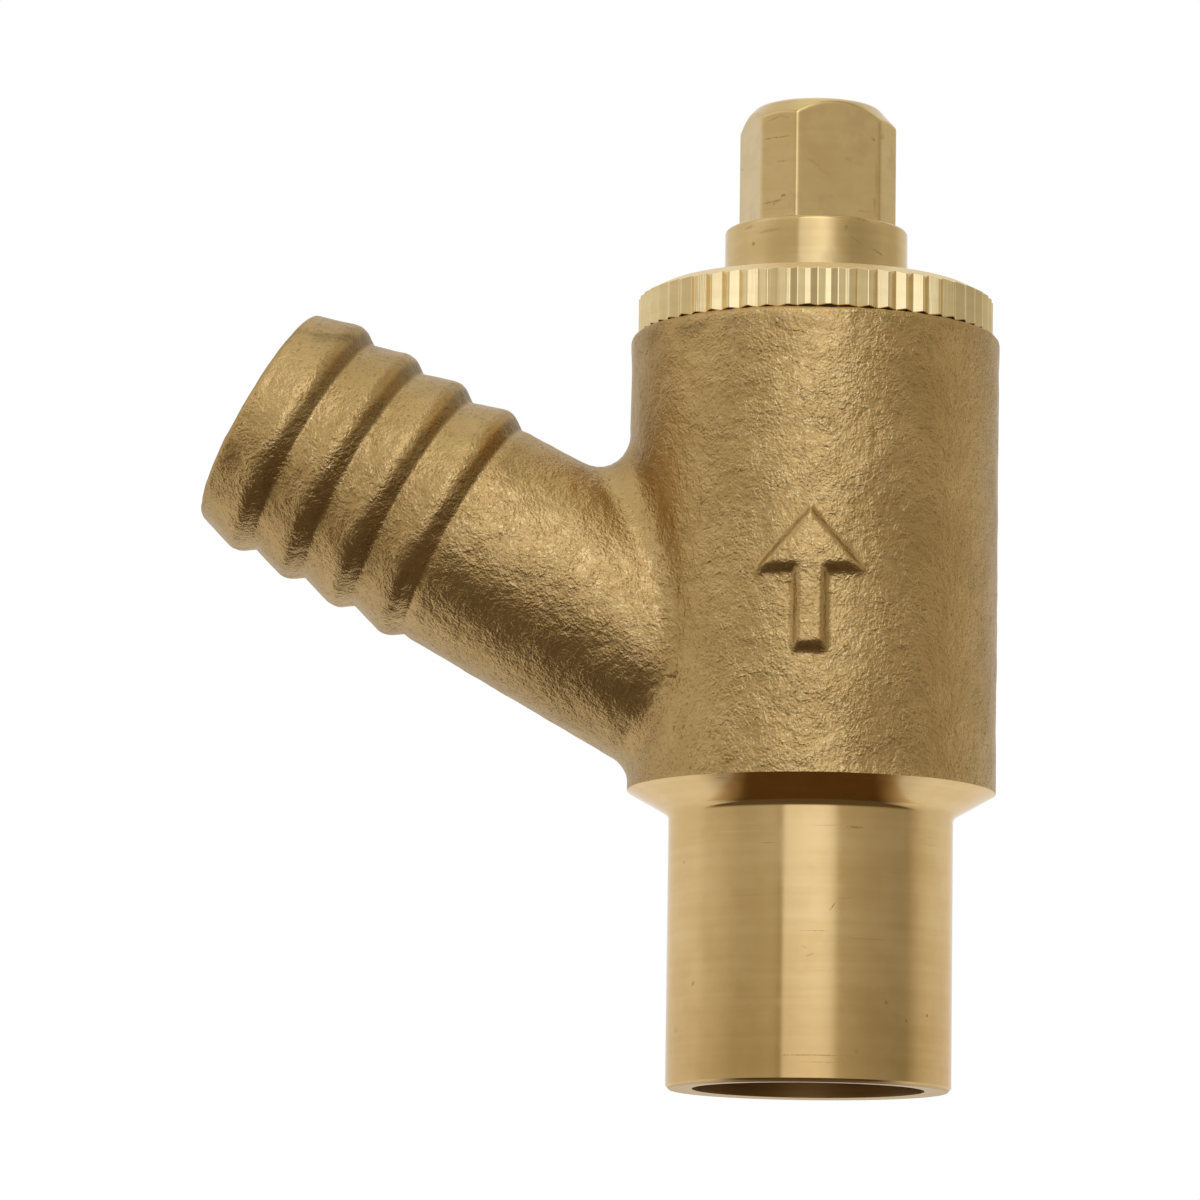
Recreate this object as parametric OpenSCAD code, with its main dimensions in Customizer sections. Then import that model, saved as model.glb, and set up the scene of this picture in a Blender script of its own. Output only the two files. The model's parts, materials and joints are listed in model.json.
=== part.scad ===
// Screw-down drain-off cock for 15 mm tube: a cast body with a plain spigot and a barbed
// hose nozzle, a knurled bonnet, and a square-headed spindle that lifts a rubber-faced jumper.
// The origin is at the centre of the spigot's end, +Z runs up the spindle, the nozzle points to -X.
// The valve is drawn closed.

/* [Spigot] */
// Outside diameter of the plain spigot, which enters a 15 mm fitting
spigot_d = 15; // [14:0.1:16]
// Bore of the spigot
spigot_bore = 12.2; // [10:0.1:13]
// Length of the plain spigot below the turned shoulder
spigot_len = 14.45; // [10:0.05:30]
// Chamfer round the spigot's end, outside
spigot_chamfer = 0.15; // [0.1:0.05:0.8]
// Slope of the turned shoulder above the horizontal, in degrees
shoulder_angle = 30; // [20:1:50]
// Radius where the spigot runs into the shoulder
shoulder_r = 0.5; // [0.2:0.05:1]

/* [Barrel] */
// Diameter of the cast barrel at its foot
barrel_d = 19.4; // [18.6:0.1:22]
// Draft of the barrel, in degrees a side, wider at the top
barrel_draft = 0.18; // [0:0.02:1]
// Length of the barrel from the shoulder to its top face
barrel_len = 24.15; // [22:0.05:34]
// Rounding of the barrel's top rim
rim_r = 0.45; // [0.1:0.05:0.8]
// Wall of the barrel at its rim, from its side to mid depth of the bonnet's thread
thread_wall = 1.78; // [1.4:0.02:2.2]
// How far the wall of the chamber stands in from mid depth of the thread
chamber_step = 0.5; // [0.4:0.05:1]

/* [Nozzle] */
// Angle of the nozzle above the horizontal, in degrees
nozzle_angle = 29.5; // [20:0.5:35]
// Height above the barrel's foot at which the nozzle's axis meets the spindle's axis
nozzle_rise = 3.25; // [2.9:0.1:6]
// Length of the nozzle's axis from the spindle's axis to the nozzle's end
nozzle_len = 34.1; // [31:0.05:50]
// Diameter of the nozzle behind its barbs
nozzle_d = 12.65; // [11.6:0.05:13.4]
// Draft of the nozzle, in degrees a side, wider towards the barrel
nozzle_draft = 0.5; // [0:0.1:2]
// Bore of the nozzle
nozzle_bore = 8.6; // [7.6:0.1:9.4]
// Distance from the spindle's axis to the foot of that bore, along the nozzle
bore_foot = 12.4; // [12:0.1:18]
// Diameter of the port from the foot of the nozzle's bore into the chamber
port_d = 7; // [5:0.1:7.4]
// Diameter of the nozzle's nose, where a hose starts
nose_d = 12.3; // [11:0.05:12.6]
// Diameter over the barbs
barb_d = 13.8; // [12.9:0.05:15]
// Diameter of the grooves between the barbs
groove_d = 12.5; // [11.6:0.05:12.8]
// Number of barbs
barb_count = 4; // [1:1:5]
// Spacing of the barbs
barb_pitch = 3.07; // [2.6:0.01:3.2]
// Distance from the nozzle's end to the first barb's steep side
barb_start = 3.7; // [3:0.05:4.5]
// Length of a barb's steep side, along the nozzle
barb_fall = 1.15; // [0.6:0.05:1.5]
// Radius over a barb's crest
crest_r = 0.9; // [0.3:0.1:1.2]
// Radius in the grooves
groove_r = 0.35; // [0.1:0.05:0.5]
// Radius of the fillet where the nozzle grows out of the barrel
fillet_r = 1.75; // [1:0.1:2.6]

/* [Seat] */
// Height of the seat's lip above the barrel's foot
seat_rise = 3.9; // [2.6:0.1:4.5]
// Height of the seat's lip above the chamber's floor
seat_h = 1.7; // [0.8:0.1:2.2]
// Outside diameter of the seat's lip
seat_d = 10.4; // [9.6:0.1:11]
// Way through the seat
seat_bore = 8; // [6.4:0.1:8.4]

/* [Bonnet] */
// How far the knurled rim stands back from the side of the barrel
knurl_step = 0.33; // [0:0.01:0.6]
// Teeth round the knurled rim
knurl_count = 56; // [24:1:80]
// Depth of the knurl's grooves
knurl_depth = 0.26; // [0.1:0.02:0.5]
// Share of the knurl's pitch that is groove
knurl_open = 0.58; // [0.3:0.02:0.8]
// Height of the knurled rim
knurl_h = 2.15; // [1.6:0.05:4]
// Height of the bevel on the knurled rim's upper edge
bevel_h = 0.5; // [0.2:0.02:0.8]
// Width of that bevel
bevel_w = 1; // [0.3:0.05:1.5]
// Length of the bonnet's threaded skirt below the barrel's top
skirt_len = 8.2; // [7.6:0.1:10]
// Length of the bonnet's inner thread
inner_thread_len = 3.8; // [3:0.1:4.2]
// Thickness of the fibre washer under the knurled rim
washer_t = 0.35; // [0.2:0.05:1]
// How far the fibre washer stands back from the bottom of the knurl's grooves
washer_step = 0.09; // [0.02:0.01:0.4]

/* [Spindle] */
// Diameter of the spindle's turned collar
collar_d = 9.75; // [9.2:0.05:10.4]
// Height of the collar above the bonnet
collar_h = 3.5; // [2:0.05:8]
// Rounding of the collar's top edge
collar_edge_r = 0.4; // [0.1:0.05:0.8]
// Size of the square head across its flats
head_flats = 7.38; // [6:0.02:7.8]
// Size of the square head across its cut corners
head_corners = 8.3; // [8:0.02:9]
// Height of the head above the collar
head_h = 6.7; // [4:0.05:12]
// Height of the round neck between the collar and the head's flats
neck_h = 0.96; // [0.3:0.02:1.5]
// Diameter of that neck
neck_d = 8.4; // [7.8:0.05:8.8]
// Slope of the turned end of the head above the horizontal, in degrees
head_slope = 48; // [25:1:65]
// Diameter across the head's top, before its edge is rounded
head_top_d = 6.5; // [4:0.1:7]
// Rounding of the head's top edge
head_edge_r = 0.7; // [0.1:0.05:1]
// Turn of the head's flats from the front, in degrees
head_turn = 17.6; // [0:0.1:45]
// Diameter of the spindle's thread, at mid depth of the thread
spindle_thread_d = 9.2; // [8.6:0.05:9.4]
// Lift of the valve from shut to fully open
lift = 3; // [1:0.1:3.2]
// Thickness of the spindle's O-ring, before it is squeezed
ring_t = 1.6; // [1.2:0.1:1.8]

/* [Jumper] */
// Diameter of the rubber seat washer
rubber_d = 11; // [10.6:0.1:12]
// Thickness of the rubber seat washer
rubber_t = 2.4; // [1.5:0.1:3]
// Width of the jumper's rim round the rubber washer
cup_w = 0.4; // [0.3:0.05:0.6]
// Thickness of the jumper's plate
plate_t = 1.5; // [1:0.1:2]
// Diameter of the jumper's stem
stem_d = 4.5; // [3.6:0.1:5]
// Length of the jumper's stem above its plate
stem_len = 6; // [3:0.1:9]
// Head diameter of the screw that holds the rubber washer
screw_head_d = 5.4; // [4:0.1:5.8]
// Thread diameter of that screw
screw_d = 2.5; // [2:0.1:2.8]

/* [Fits] */
// Radial clearance of turning and sliding fits
running = 0.03; // [0.02:0.01:0.06]
// Radial clearance of parts that are screwed or laid together
seated = 0.05; // [0.03:0.01:0.1]
// End float of the jumper in the spindle
float_gap = 0.05; // [0.02:0.01:0.2]

/* [Hidden] */
$fn = 96;

// Levels up the spindle's axis
shoulder_h = (barrel_d - spigot_d) / 2 * tan(shoulder_angle);
foot_z = spigot_len + shoulder_h;
rim_z = foot_z + barrel_len;
cross_z = foot_z + nozzle_rise;
seat_z = foot_z + seat_rise;
floor_z = seat_z - seat_h;
rubber_z = seat_z;
plate_z = rubber_z + rubber_t;
tip_z = plate_z + plate_t + float_gap;
skirt_z = rim_z - skirt_len;
knurl_z = rim_z + washer_t;
bonnet_z = knurl_z + knurl_h;
collar_z = bonnet_z + collar_h;
head_z = collar_z + head_h;

// Bevels on turned edges, on the ends of threads, and at the mouths of bores
edge_bevel = 0.3;
thread_bevel = 0.4;
mouth_bevel = 0.2;
// How far a cutting shape stands past the face it cuts
past = 1;

// Barrel and chamber
barrel_r = barrel_d / 2;
barrel_top_r = barrel_r + barrel_len * tan(barrel_draft);
thread_r = barrel_top_r - thread_wall;
chamber_r = thread_r - chamber_step;
thread_runout = 1;
lead_in = 0.4;
knurl_r = barrel_top_r - knurl_step;
washer_r = knurl_r - knurl_depth - washer_step;
throat_h = 2.2;
lip_r = 0.35;

// Nozzle: its port breaks into the chamber clear of the seat, and its root starts behind the barbs
bore_r = nozzle_bore / 2;
port_r = port_d / 2;
port_overlap = 0.15;
port_start = (chamber_r - port_overlap - port_r * sin(nozzle_angle)) / cos(nozzle_angle);
drill_slope = 30;
barb_lead = 0.5;
root_n = nozzle_len - barb_start - (barb_count - 1) * barb_pitch - barb_lead;
nose_bevel_w = 0.25;
nose_bevel_h = 0.12;

// Spindle and bonnet bore
collar_r = collar_d / 2;
spindle_r = spindle_thread_d / 2;
inner_z = skirt_z + inner_thread_len;
land_h = 0.9;
ring_z = inner_z + land_h;
ring_squeeze = 0.88;
ring_groove = ring_t * ring_squeeze;
groove_w = ring_t * 1.15;
ring_play = 0.01;
nose_step = 0.5;
thread_spare = 0.5;
stem_hole_spare = 0.6;

// Jumper and its screw
screw_head_h = 1.2;
screw_grip = 3;
screw_len = rubber_t + screw_grip;
screw_hole_spare = 0.5;
slot_w = 0.8;
slot_h = 0.6;
rubber_play = 0.05;
rim_drop = 0.9;
lip_bevel = 0.15;
plate_d = rubber_d + 2 * (cup_w + rubber_play);

// Fillet ring: degrees of a step round the nozzle and across the fillet
fillet_turn = 5;
fillet_bend = 13;
fillet_rows = round(360 / fillet_turn);
fillet_steps = round(90 / fillet_bend);
sink = 0.04;
anchor_depth = 0.9;

// Axes of the nozzle: out along it, up across it, and level across it
axis_n = [-cos(nozzle_angle), 0, sin(nozzle_angle)];
axis_u = [sin(nozzle_angle), 0, cos(nozzle_angle)];
axis_v = [0, -1, 0];
cross_p = [0, 0, cross_z];

function unit(v) = v / norm(v);
function flip(points) = [for (i = [len(points) - 1:-1:0]) points[i]];

// Points of an arc of radius r that rounds the corner b between a and c
function corner(a, b, c, r, steps = 5) =
    let (p = unit(a - b), q = unit(c - b),
        half = acos(p * q) / 2,
        back = min(r / tan(half), norm(a - b) * 0.49, norm(c - b) * 0.49),
        round_r = back * tan(half),
        centre = b + unit(p + q) * (round_r / sin(half)),
        from = b + p * back - centre, to = b + q * back - centre,
        sweep = 180 - 2 * half,
        side = from[0] * to[1] - from[1] * to[0] > 0 ? 1 : -1)
    [for (i = [0:steps])
        let (t = side * sweep * i / steps)
        centre + [from[0] * cos(t) - from[1] * sin(t), from[0] * sin(t) + from[1] * cos(t)]];

// Rounds the inner corners of an open line: each point is [x, y, r], and r = 0 stays sharp
function rounded(line) =
    [for (i = [0:len(line) - 1])
        let (b = [line[i][0], line[i][1]])
        each (line[i][2] == 0 || i == 0 || i == len(line) - 1) ? [b]
            : corner([line[i - 1][0], line[i - 1][1]], b, [line[i + 1][0], line[i + 1][1]], line[i][2])];

module turned(points) {
    rotate_extrude() polygon(points);
}

// Places a shape drawn along +Z on the nozzle's axis, from the spindle's axis outwards
module on_nozzle() {
    translate(cross_p) rotate([0, nozzle_angle - 90, 0]) children();
}

// Outside of the spigot, shoulder and barrel
function barrel_outline() = concat([[0, 0]], rounded([
    [spigot_d / 2 - spigot_chamfer, 0, 0],
    [spigot_d / 2, spigot_chamfer, 0],
    [spigot_d / 2, spigot_len, shoulder_r],
    [barrel_r, foot_z, 0],
    [barrel_top_r, rim_z, rim_r],
    [barrel_top_r - rim_r * 1.5, rim_z, 0]]), [[0, rim_z]]);

// Water way up through the spigot and seat, the chamber, and the bore for the bonnet's thread
function cavity_outline() = concat([[0, -past], [spigot_bore / 2 + spigot_chamfer + past, -past]], rounded([
    [spigot_bore / 2 + spigot_chamfer, 0, 0],
    [spigot_bore / 2, spigot_chamfer, 0],
    [spigot_bore / 2, spigot_len - throat_h, 0],
    [seat_bore / 2, spigot_len - throat_h + (spigot_bore - seat_bore) / 2, 0],
    [seat_bore / 2, seat_z, lip_r],
    [seat_d / 2, seat_z, lip_r],
    [seat_d / 2, floor_z, 0],
    [chamber_r, floor_z, 0],
    [chamber_r, skirt_z - thread_runout, 0],
    [thread_r + seated, skirt_z - thread_runout, 0],
    [thread_r + seated, rim_z - lead_in, 0],
    [thread_r + seated + lead_in, rim_z, 0]]),
    [[thread_r + seated + lead_in, rim_z + past], [0, rim_z + past]]);

// One barb of the nozzle, seen from its nose: a long ramp up to the crest and a short fall
function barb(i) = let (end = nozzle_len - barb_start - i * barb_pitch)
    [[barb_d / 2, end + barb_fall, crest_r], [groove_d / 2, end, groove_r]];

// Half outline of the nozzle, from inside the barrel out to the nose
function nozzle_outline() = concat([[0, port_start], [nozzle_r(port_start), port_start]],
    flip(rounded(concat(
        [[nose_d / 2 - nose_bevel_w, nozzle_len, 0], [nose_d / 2, nozzle_len - nose_bevel_h, 0]],
        [for (i = [0:barb_count - 1]) each barb(i)],
        [[nozzle_r(root_n), root_n, 0]]))),
    [[0, nozzle_len]]);

// Radius of the barrel at height z, and of the nozzle behind its barbs at n along its axis
function barrel_at(z) = barrel_r + (z - foot_z) * tan(barrel_draft);
function nozzle_r(n) = nozzle_d / 2 + (root_n - n) * tan(nozzle_draft);

// Ball of radius fillet_r that rolls in the corner between nozzle and barrel, at angle a round
// the nozzle. Its centre lies fillet_r off both surfaces, and each pass takes their drafts
// from where the last one came out.
function ball(a, out = nozzle_len / 2, pass = 0) =
    let (k = nozzle_r(out) + fillet_r,
        reach = barrel_at(cross_z + out * sin(nozzle_angle) + k * cos(a) * cos(nozzle_angle)) + fillet_r,
        y = k * sin(a),
        next = (sqrt(reach * reach - y * y) + k * cos(a) * sin(nozzle_angle)) / cos(nozzle_angle))
    pass == 3 ? cross_p + axis_n * out + (axis_u * cos(a) + axis_v * sin(a)) * k
        : ball(a, next, pass + 1);

// One section of the fillet: an arc from nozzle to barrel, its ends sunk, and a point in the metal
function fillet_section(a) =
    let (c = ball(a),
        to_nozzle = -(axis_u * cos(a) + axis_v * sin(a)),
        to_barrel = -unit([c[0], c[1], 0]),
        turn = acos(to_nozzle * to_barrel),
        corner_p = c + (to_nozzle + to_barrel) * ((fillet_r + anchor_depth) / (1 + cos(turn))))
    concat([for (i = [0:fillet_steps])
        let (t = turn * i / fillet_steps,
            ray = (to_nozzle * sin(turn - t) + to_barrel * sin(t)) / sin(turn),
            deep = i == 0 || i == fillet_steps ? sink : 0)
        c + ray * (fillet_r + deep)], [corner_p]);

module nozzle_fillet() {
    rows = fillet_rows;
    cols = fillet_steps + 2;
    points = [for (j = [0:rows - 1]) each fillet_section(360 * j / rows)];
    faces = [for (j = [0:rows - 1]) for (i = [0:cols - 1])
        let (a = j * cols + i, b = j * cols + (i + 1) % cols,
            c = (j + 1) % rows * cols + (i + 1) % cols, d = (j + 1) % rows * cols + i)
        each [[a, b, c], [a, c, d]]];
    polyhedron(points, faces, convexity = 4);
}

module body() {
    color([0.66, 0.53, 0.31])
    difference() {
        union() {
            turned(barrel_outline());
            on_nozzle() turned(nozzle_outline());
            nozzle_fillet();
        }
        turned(cavity_outline());
        on_nozzle() turned([[0, port_start], [port_r, port_start],
            [port_r, bore_foot - (bore_r - port_r) * tan(drill_slope)],
            [bore_r, bore_foot], [bore_r, nozzle_len - mouth_bevel],
            [bore_r + mouth_bevel, nozzle_len], [bore_r + mouth_bevel, nozzle_len + past],
            [0, nozzle_len + past]]);
    }
}

// Plan of the knurl: a disc with straight V grooves that leave flat lands
module knurl_plan(r) {
    pitch = 360 / knurl_count;
    half = pitch * knurl_open / 2;
    out = r + knurl_depth;
    difference() {
        circle(r = r);
        for (i = [0:knurl_count - 1])
            rotate(i * pitch)
                polygon([[r - knurl_depth, 0], [out, out * tan(half)], [out, -out * tan(half)]]);
    }
}

module bonnet() {
    hole_r = spindle_r + seated;
    gland_r = collar_r + running;
    color([0.85, 0.71, 0.42])
    difference() {
        union() {
            turned([[0, skirt_z], [thread_r - thread_bevel, skirt_z], [thread_r, skirt_z + thread_bevel],
                [thread_r, knurl_z + knurl_h / 2], [0, knurl_z + knurl_h / 2]]);
            intersection() {
                translate([0, 0, knurl_z]) linear_extrude(knurl_h) knurl_plan(knurl_r);
                turned([[0, knurl_z - past], [knurl_r + past, knurl_z - past],
                    [knurl_r + past, bonnet_z - bevel_h - past * bevel_h / bevel_w],
                    [knurl_r - bevel_w, bonnet_z], [0, bonnet_z]]);
            }
        }
        turned([[0, skirt_z - past], [hole_r + edge_bevel, skirt_z - past],
            [hole_r + edge_bevel, skirt_z], [hole_r, skirt_z + edge_bevel],
            [hole_r, inner_z], [gland_r, inner_z],
            [gland_r, bonnet_z - mouth_bevel], [gland_r + mouth_bevel, bonnet_z],
            [gland_r + mouth_bevel, bonnet_z + past], [0, bonnet_z + past]]);
    }
}

module bonnet_washer() {
    color([0.25, 0.16, 0.12])
    translate([0, 0, rim_z]) difference() {
        cylinder(r = washer_r, h = washer_t);
        translate([0, 0, -past]) cylinder(r = thread_r + seated, h = washer_t + 2 * past);
    }
}

// Square with its corners cut flat
module head_plan() {
    intersection() {
        square(head_flats, center = true);
        rotate(45) square(head_corners, center = true);
    }
}

// Blank of the spindle below its head: nose, thread, O-ring groove and collar
function spindle_outline() = let (shank_z = inner_z + 2 * running, thread_z = skirt_z - lift - thread_spare)
    concat([[0, tip_z]], rounded([
        [spindle_r - nose_step - edge_bevel, tip_z, 0],
        [spindle_r - nose_step, tip_z + edge_bevel, 0],
        [spindle_r - nose_step, thread_z, 0],
        [spindle_r, thread_z + nose_step, 0],
        [spindle_r, shank_z, 0],
        [collar_r, shank_z + edge_bevel, 0],
        [collar_r, ring_z, 0],
        [collar_r - ring_groove, ring_z, 0],
        [collar_r - ring_groove, ring_z + groove_w, 0],
        [collar_r, ring_z + groove_w, 0],
        [collar_r, collar_z, collar_edge_r],
        [neck_d / 2 - edge_bevel, collar_z, 0]]), [[0, collar_z]]);

// Turned outline of the head, which its flats are cut from
function head_outline() = let (top_r = head_top_d / 2, bar_r = head_corners)
    concat([[0, collar_z], [bar_r, collar_z]], rounded([
        [bar_r, head_z - (bar_r - top_r) * tan(head_slope), 0],
        [top_r, head_z, head_edge_r],
        [0, head_z, 0]]));

module spindle() {
    hole_r = stem_d / 2 + running;
    hole_z = plate_z + plate_t + stem_len + stem_hole_spare;
    color([0.83, 0.69, 0.42])
    difference() {
        union() {
            turned(spindle_outline());
            translate([0, 0, collar_z - collar_h / 2]) cylinder(r = neck_d / 2, h = collar_h / 2 + neck_h);
            rotate(head_turn) intersection() {
                translate([0, 0, collar_z]) linear_extrude(head_h) head_plan();
                turned(head_outline());
            }
        }
        turned([[0, tip_z - past], [hole_r, tip_z - past], [hole_r, hole_z],
            [0, hole_z + hole_r * tan(drill_slope)]]);
    }
}

module spindle_o_ring() {
    section_r = (ring_groove + running) / 2 - ring_play;
    color([0.08, 0.08, 0.08])
    translate([0, 0, ring_z + groove_w / 2])
        rotate_extrude() translate([collar_r - ring_groove + ring_play + section_r, 0])
            circle(r = section_r, $fn = 32);
}

// Cup-shaped plate that holds the rubber washer, with a stem that stands in the spindle
module jumper() {
    cup_r = rubber_d / 2 + rubber_play;
    out_r = plate_d / 2;
    stem_r = stem_d / 2;
    top_z = plate_z + plate_t;
    color([0.80, 0.66, 0.38])
    difference() {
        turned([[0, plate_z], [cup_r, plate_z], [cup_r, plate_z - rim_drop],
            [out_r - lip_bevel, plate_z - rim_drop], [out_r, plate_z - rim_drop + lip_bevel],
            [out_r, top_z - edge_bevel], [out_r - edge_bevel, top_z], [stem_r, top_z],
            [stem_r, top_z + stem_len - edge_bevel], [stem_r - edge_bevel, top_z + stem_len],
            [0, top_z + stem_len]]);
        translate([0, 0, plate_z - past])
            cylinder(r = screw_d / 2 + seated, h = past + screw_grip + screw_hole_spare);
    }
}

module seat_washer() {
    color([0.10, 0.10, 0.10])
    translate([0, 0, rubber_z]) difference() {
        cylinder(r = rubber_d / 2, h = rubber_t);
        translate([0, 0, -past]) cylinder(r = screw_d / 2 + seated, h = rubber_t + 2 * past);
    }
}

module washer_screw() {
    head_r = screw_head_d / 2;
    low_z = rubber_z - screw_head_h;
    end_z = rubber_z + screw_len;
    color([0.80, 0.66, 0.38])
    difference() {
        turned([[0, low_z], [head_r - edge_bevel, low_z], [head_r, low_z + edge_bevel], [head_r, rubber_z],
            [screw_d / 2, rubber_z], [screw_d / 2, end_z - edge_bevel], [screw_d / 2 - edge_bevel, end_z],
            [0, end_z]]);
        translate([0, 0, low_z]) cube([screw_head_d * 2, slot_w, slot_h * 2], center = true);
    }
}

body();
bonnet();
bonnet_washer();
spindle();
spindle_o_ring();
jumper();
seat_washer();
washer_screw();
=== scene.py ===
import json
import math

import bmesh
import bpy
import numpy as np
from mathutils import Matrix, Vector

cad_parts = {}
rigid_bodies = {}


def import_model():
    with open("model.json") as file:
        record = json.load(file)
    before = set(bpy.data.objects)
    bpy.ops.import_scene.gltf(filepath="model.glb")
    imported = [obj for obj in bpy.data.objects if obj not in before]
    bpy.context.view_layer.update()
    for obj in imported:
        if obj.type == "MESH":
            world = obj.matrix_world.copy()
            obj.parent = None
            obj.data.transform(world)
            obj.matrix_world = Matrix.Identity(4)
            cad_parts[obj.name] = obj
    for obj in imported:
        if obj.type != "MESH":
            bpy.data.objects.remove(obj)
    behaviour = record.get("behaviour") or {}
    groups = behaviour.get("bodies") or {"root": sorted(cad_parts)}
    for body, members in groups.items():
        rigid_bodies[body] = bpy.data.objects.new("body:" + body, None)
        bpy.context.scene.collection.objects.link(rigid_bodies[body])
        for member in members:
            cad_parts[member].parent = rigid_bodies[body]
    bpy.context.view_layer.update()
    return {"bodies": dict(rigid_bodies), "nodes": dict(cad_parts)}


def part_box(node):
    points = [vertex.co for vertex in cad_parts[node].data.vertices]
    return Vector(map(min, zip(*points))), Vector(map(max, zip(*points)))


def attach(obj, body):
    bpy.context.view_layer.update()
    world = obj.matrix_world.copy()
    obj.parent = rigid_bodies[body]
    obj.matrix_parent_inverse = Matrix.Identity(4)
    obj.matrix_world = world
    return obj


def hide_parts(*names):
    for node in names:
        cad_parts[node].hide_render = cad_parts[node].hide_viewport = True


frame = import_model()

# Drain-off cock for 15 mm tube. The pieces that show are modelled again here from formulas, at the
# sizes of the frame: the cast body, the knurled bonnet and the square-headed spindle. The inner
# pieces are the frame's own, with finishes of their own. Sizes are in millimetres, angles in degrees.
mm = 0.001

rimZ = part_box("bonnet_washer")[0].z / mm
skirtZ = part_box("bonnet")[0].z / mm
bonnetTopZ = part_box("bonnet")[1].z / mm
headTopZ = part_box("spindle")[1].z / mm
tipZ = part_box("spindle")[0].z / mm
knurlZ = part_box("bonnet_washer")[1].z / mm
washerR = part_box("bonnet_washer")[1].x / mm
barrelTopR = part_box("body")[1].x / mm


def unit(v):
    return v / np.linalg.norm(v, axis=-1, keepdims=True)


def easeStep(t):
    t = np.clip(t, 0, 1)
    return t * t * (3 - 2 * t)


# Steps from low to high that crowd round a centre: the running sum of 1 + gain * exp(-((t - centre) / width)^4)
# is read backwards at even stops
def crowdedSteps(low, high, count, centre, width, gain):
    t = np.linspace(low, high, 4001)
    density = 1 + gain * np.exp(-((t - centre) / width) ** 4)
    total = np.concatenate([[0], np.cumsum((density[1:] + density[:-1]) / 2)])
    return np.interp(np.linspace(0, total[-1], count + 1), total, t)


# Outline with round corners: each stop is (r, z, round), and a round stop becomes an arc that touches both
# of its lines, its centre on their bisector at round / sin(half the corner's angle)
def roundCorners(line, steps=6):
    line = np.array(line, float)
    parts = [line[:1, :2]]
    for a, b, c in zip(line[:-2], line[1:-1], line[2:]):
        if b[2] == 0:
            parts.append(b[None, :2])
            continue
        corner = b[:2]
        toA, toC = unit(a[:2] - corner), unit(c[:2] - corner)
        half = math.acos(np.clip(toA @ toC, -1, 1)) / 2
        reach = min(np.linalg.norm(a[:2] - corner), np.linalg.norm(c[:2] - corner)) * 0.49
        back = min(b[2] / math.tan(half), reach)
        radius = back * math.tan(half)
        centre = corner + unit(toA + toC) * radius / math.sin(half)
        start, end = corner + toA * back - centre, corner + toC * back - centre
        sweep = math.pi - 2 * half
        t = np.linspace(0, sweep, steps + 1)[:, None]
        parts.append(centre + (start * np.sin(sweep - t) + end * np.sin(t)) / math.sin(sweep))
    parts.append(line[-1:, :2])
    return np.concatenate(parts)


# The same outline with its long stretches cut into equal parts no longer than step
def splitLong(points, step):
    lengths = np.linalg.norm(np.diff(points, axis=0), axis=1)
    counts = np.maximum(1, np.ceil(lengths / step - 1e-6)).astype(int)
    parts = [a + (b - a) * np.linspace(0, 1, n, endpoint=False)[:, None]
             for a, b, n in zip(points[:-1], points[1:], counts)]
    return np.concatenate(parts + [points[-1:]])


# Surface of revolution about Z: x = r sin(phi), y = -r cos(phi), so phi 0 is the front
def turnedGrid(outline, phi):
    r, z = outline[:, :1], outline[:, 1:]
    return np.stack([r * np.sin(phi), -r * np.cos(phi), z + 0 * phi], axis=-1)


# Smooth noise from a box of random numbers, read between its corners with eased weights
def latticeNoise(points, cell, seed):
    place = points / cell
    base = np.floor(place).astype(int)
    share = easeStep(place - base)
    base -= base.min(axis=0)
    values = np.random.default_rng(seed).uniform(-1, 1, base.max(axis=0) + 2)
    total = np.zeros(len(points))
    for corner in np.ndindex(2, 2, 2):
        weight = np.prod(np.where(corner, share, 1 - share), axis=1)
        total += weight * values[tuple((base + corner).T)]
    return total


def newWork():
    return {"points": [], "faces": [], "slots": [], "count": 0}


def addFaces(work, faces, slot):
    work["faces"] += faces.reshape(-1, faces.shape[-1]).tolist()
    work["slots"] += [slot] * (faces.size // faces.shape[-1])


def addPoints(work, points):
    index = work["count"] + np.arange(points.size // 3).reshape(points.shape[:-1])
    work["points"].append(points.reshape(-1, 3))
    work["count"] += points.size // 3
    return index


def addGrid(work, grid, slot):
    i = addPoints(work, grid)
    addFaces(work, np.stack([i[:-1, :-1], i[:-1, 1:], i[1:, 1:], i[1:, :-1]], axis=-1), slot)


# Joins a ring to one with half its stops: each stretch of the coarse ring meets two of the fine one
def addZip(work, fine, coarse, slot):
    f, c = addPoints(work, fine), addPoints(work, coarse)
    early, middle, late = f[:-1:2], f[1::2], f[2::2]
    fans = [[c[:-1], early, middle], [c[:-1], middle, c[1:]], [c[1:], middle, late]]
    addFaces(work, np.stack([np.stack(fan, axis=-1) for fan in fans]), slot)


# Makes the mesh, merges what meets and turns every face outwards
def makePiece(name, work, sharpAngle):
    mesh = bpy.data.meshes.new(name)
    points = np.concatenate(work["points"]) * mm
    mesh.from_pydata(points.tolist(), [], work["faces"])
    mesh.polygons.foreach_set("material_index", work["slots"])
    welded = bmesh.new()
    welded.from_mesh(mesh)
    bmesh.ops.remove_doubles(welded, verts=welded.verts, dist=0.001 * mm)
    bmesh.ops.recalc_face_normals(welded, faces=welded.faces)
    openEdges = sum(1 for edge in welded.edges if len(edge.link_faces) != 2)
    welded.to_mesh(mesh)
    welded.free()
    mesh.shade_smooth()
    mesh.set_sharp_from_angle(angle=math.radians(sharpAngle))
    piece = bpy.data.objects.new(name, mesh)
    bpy.context.scene.collection.objects.link(piece)
    triangles = sum(len(p.vertices) - 2 for p in mesh.polygons)
    print(f"{name}: {triangles} triangles, {openEdges} open edges")
    return piece


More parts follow.
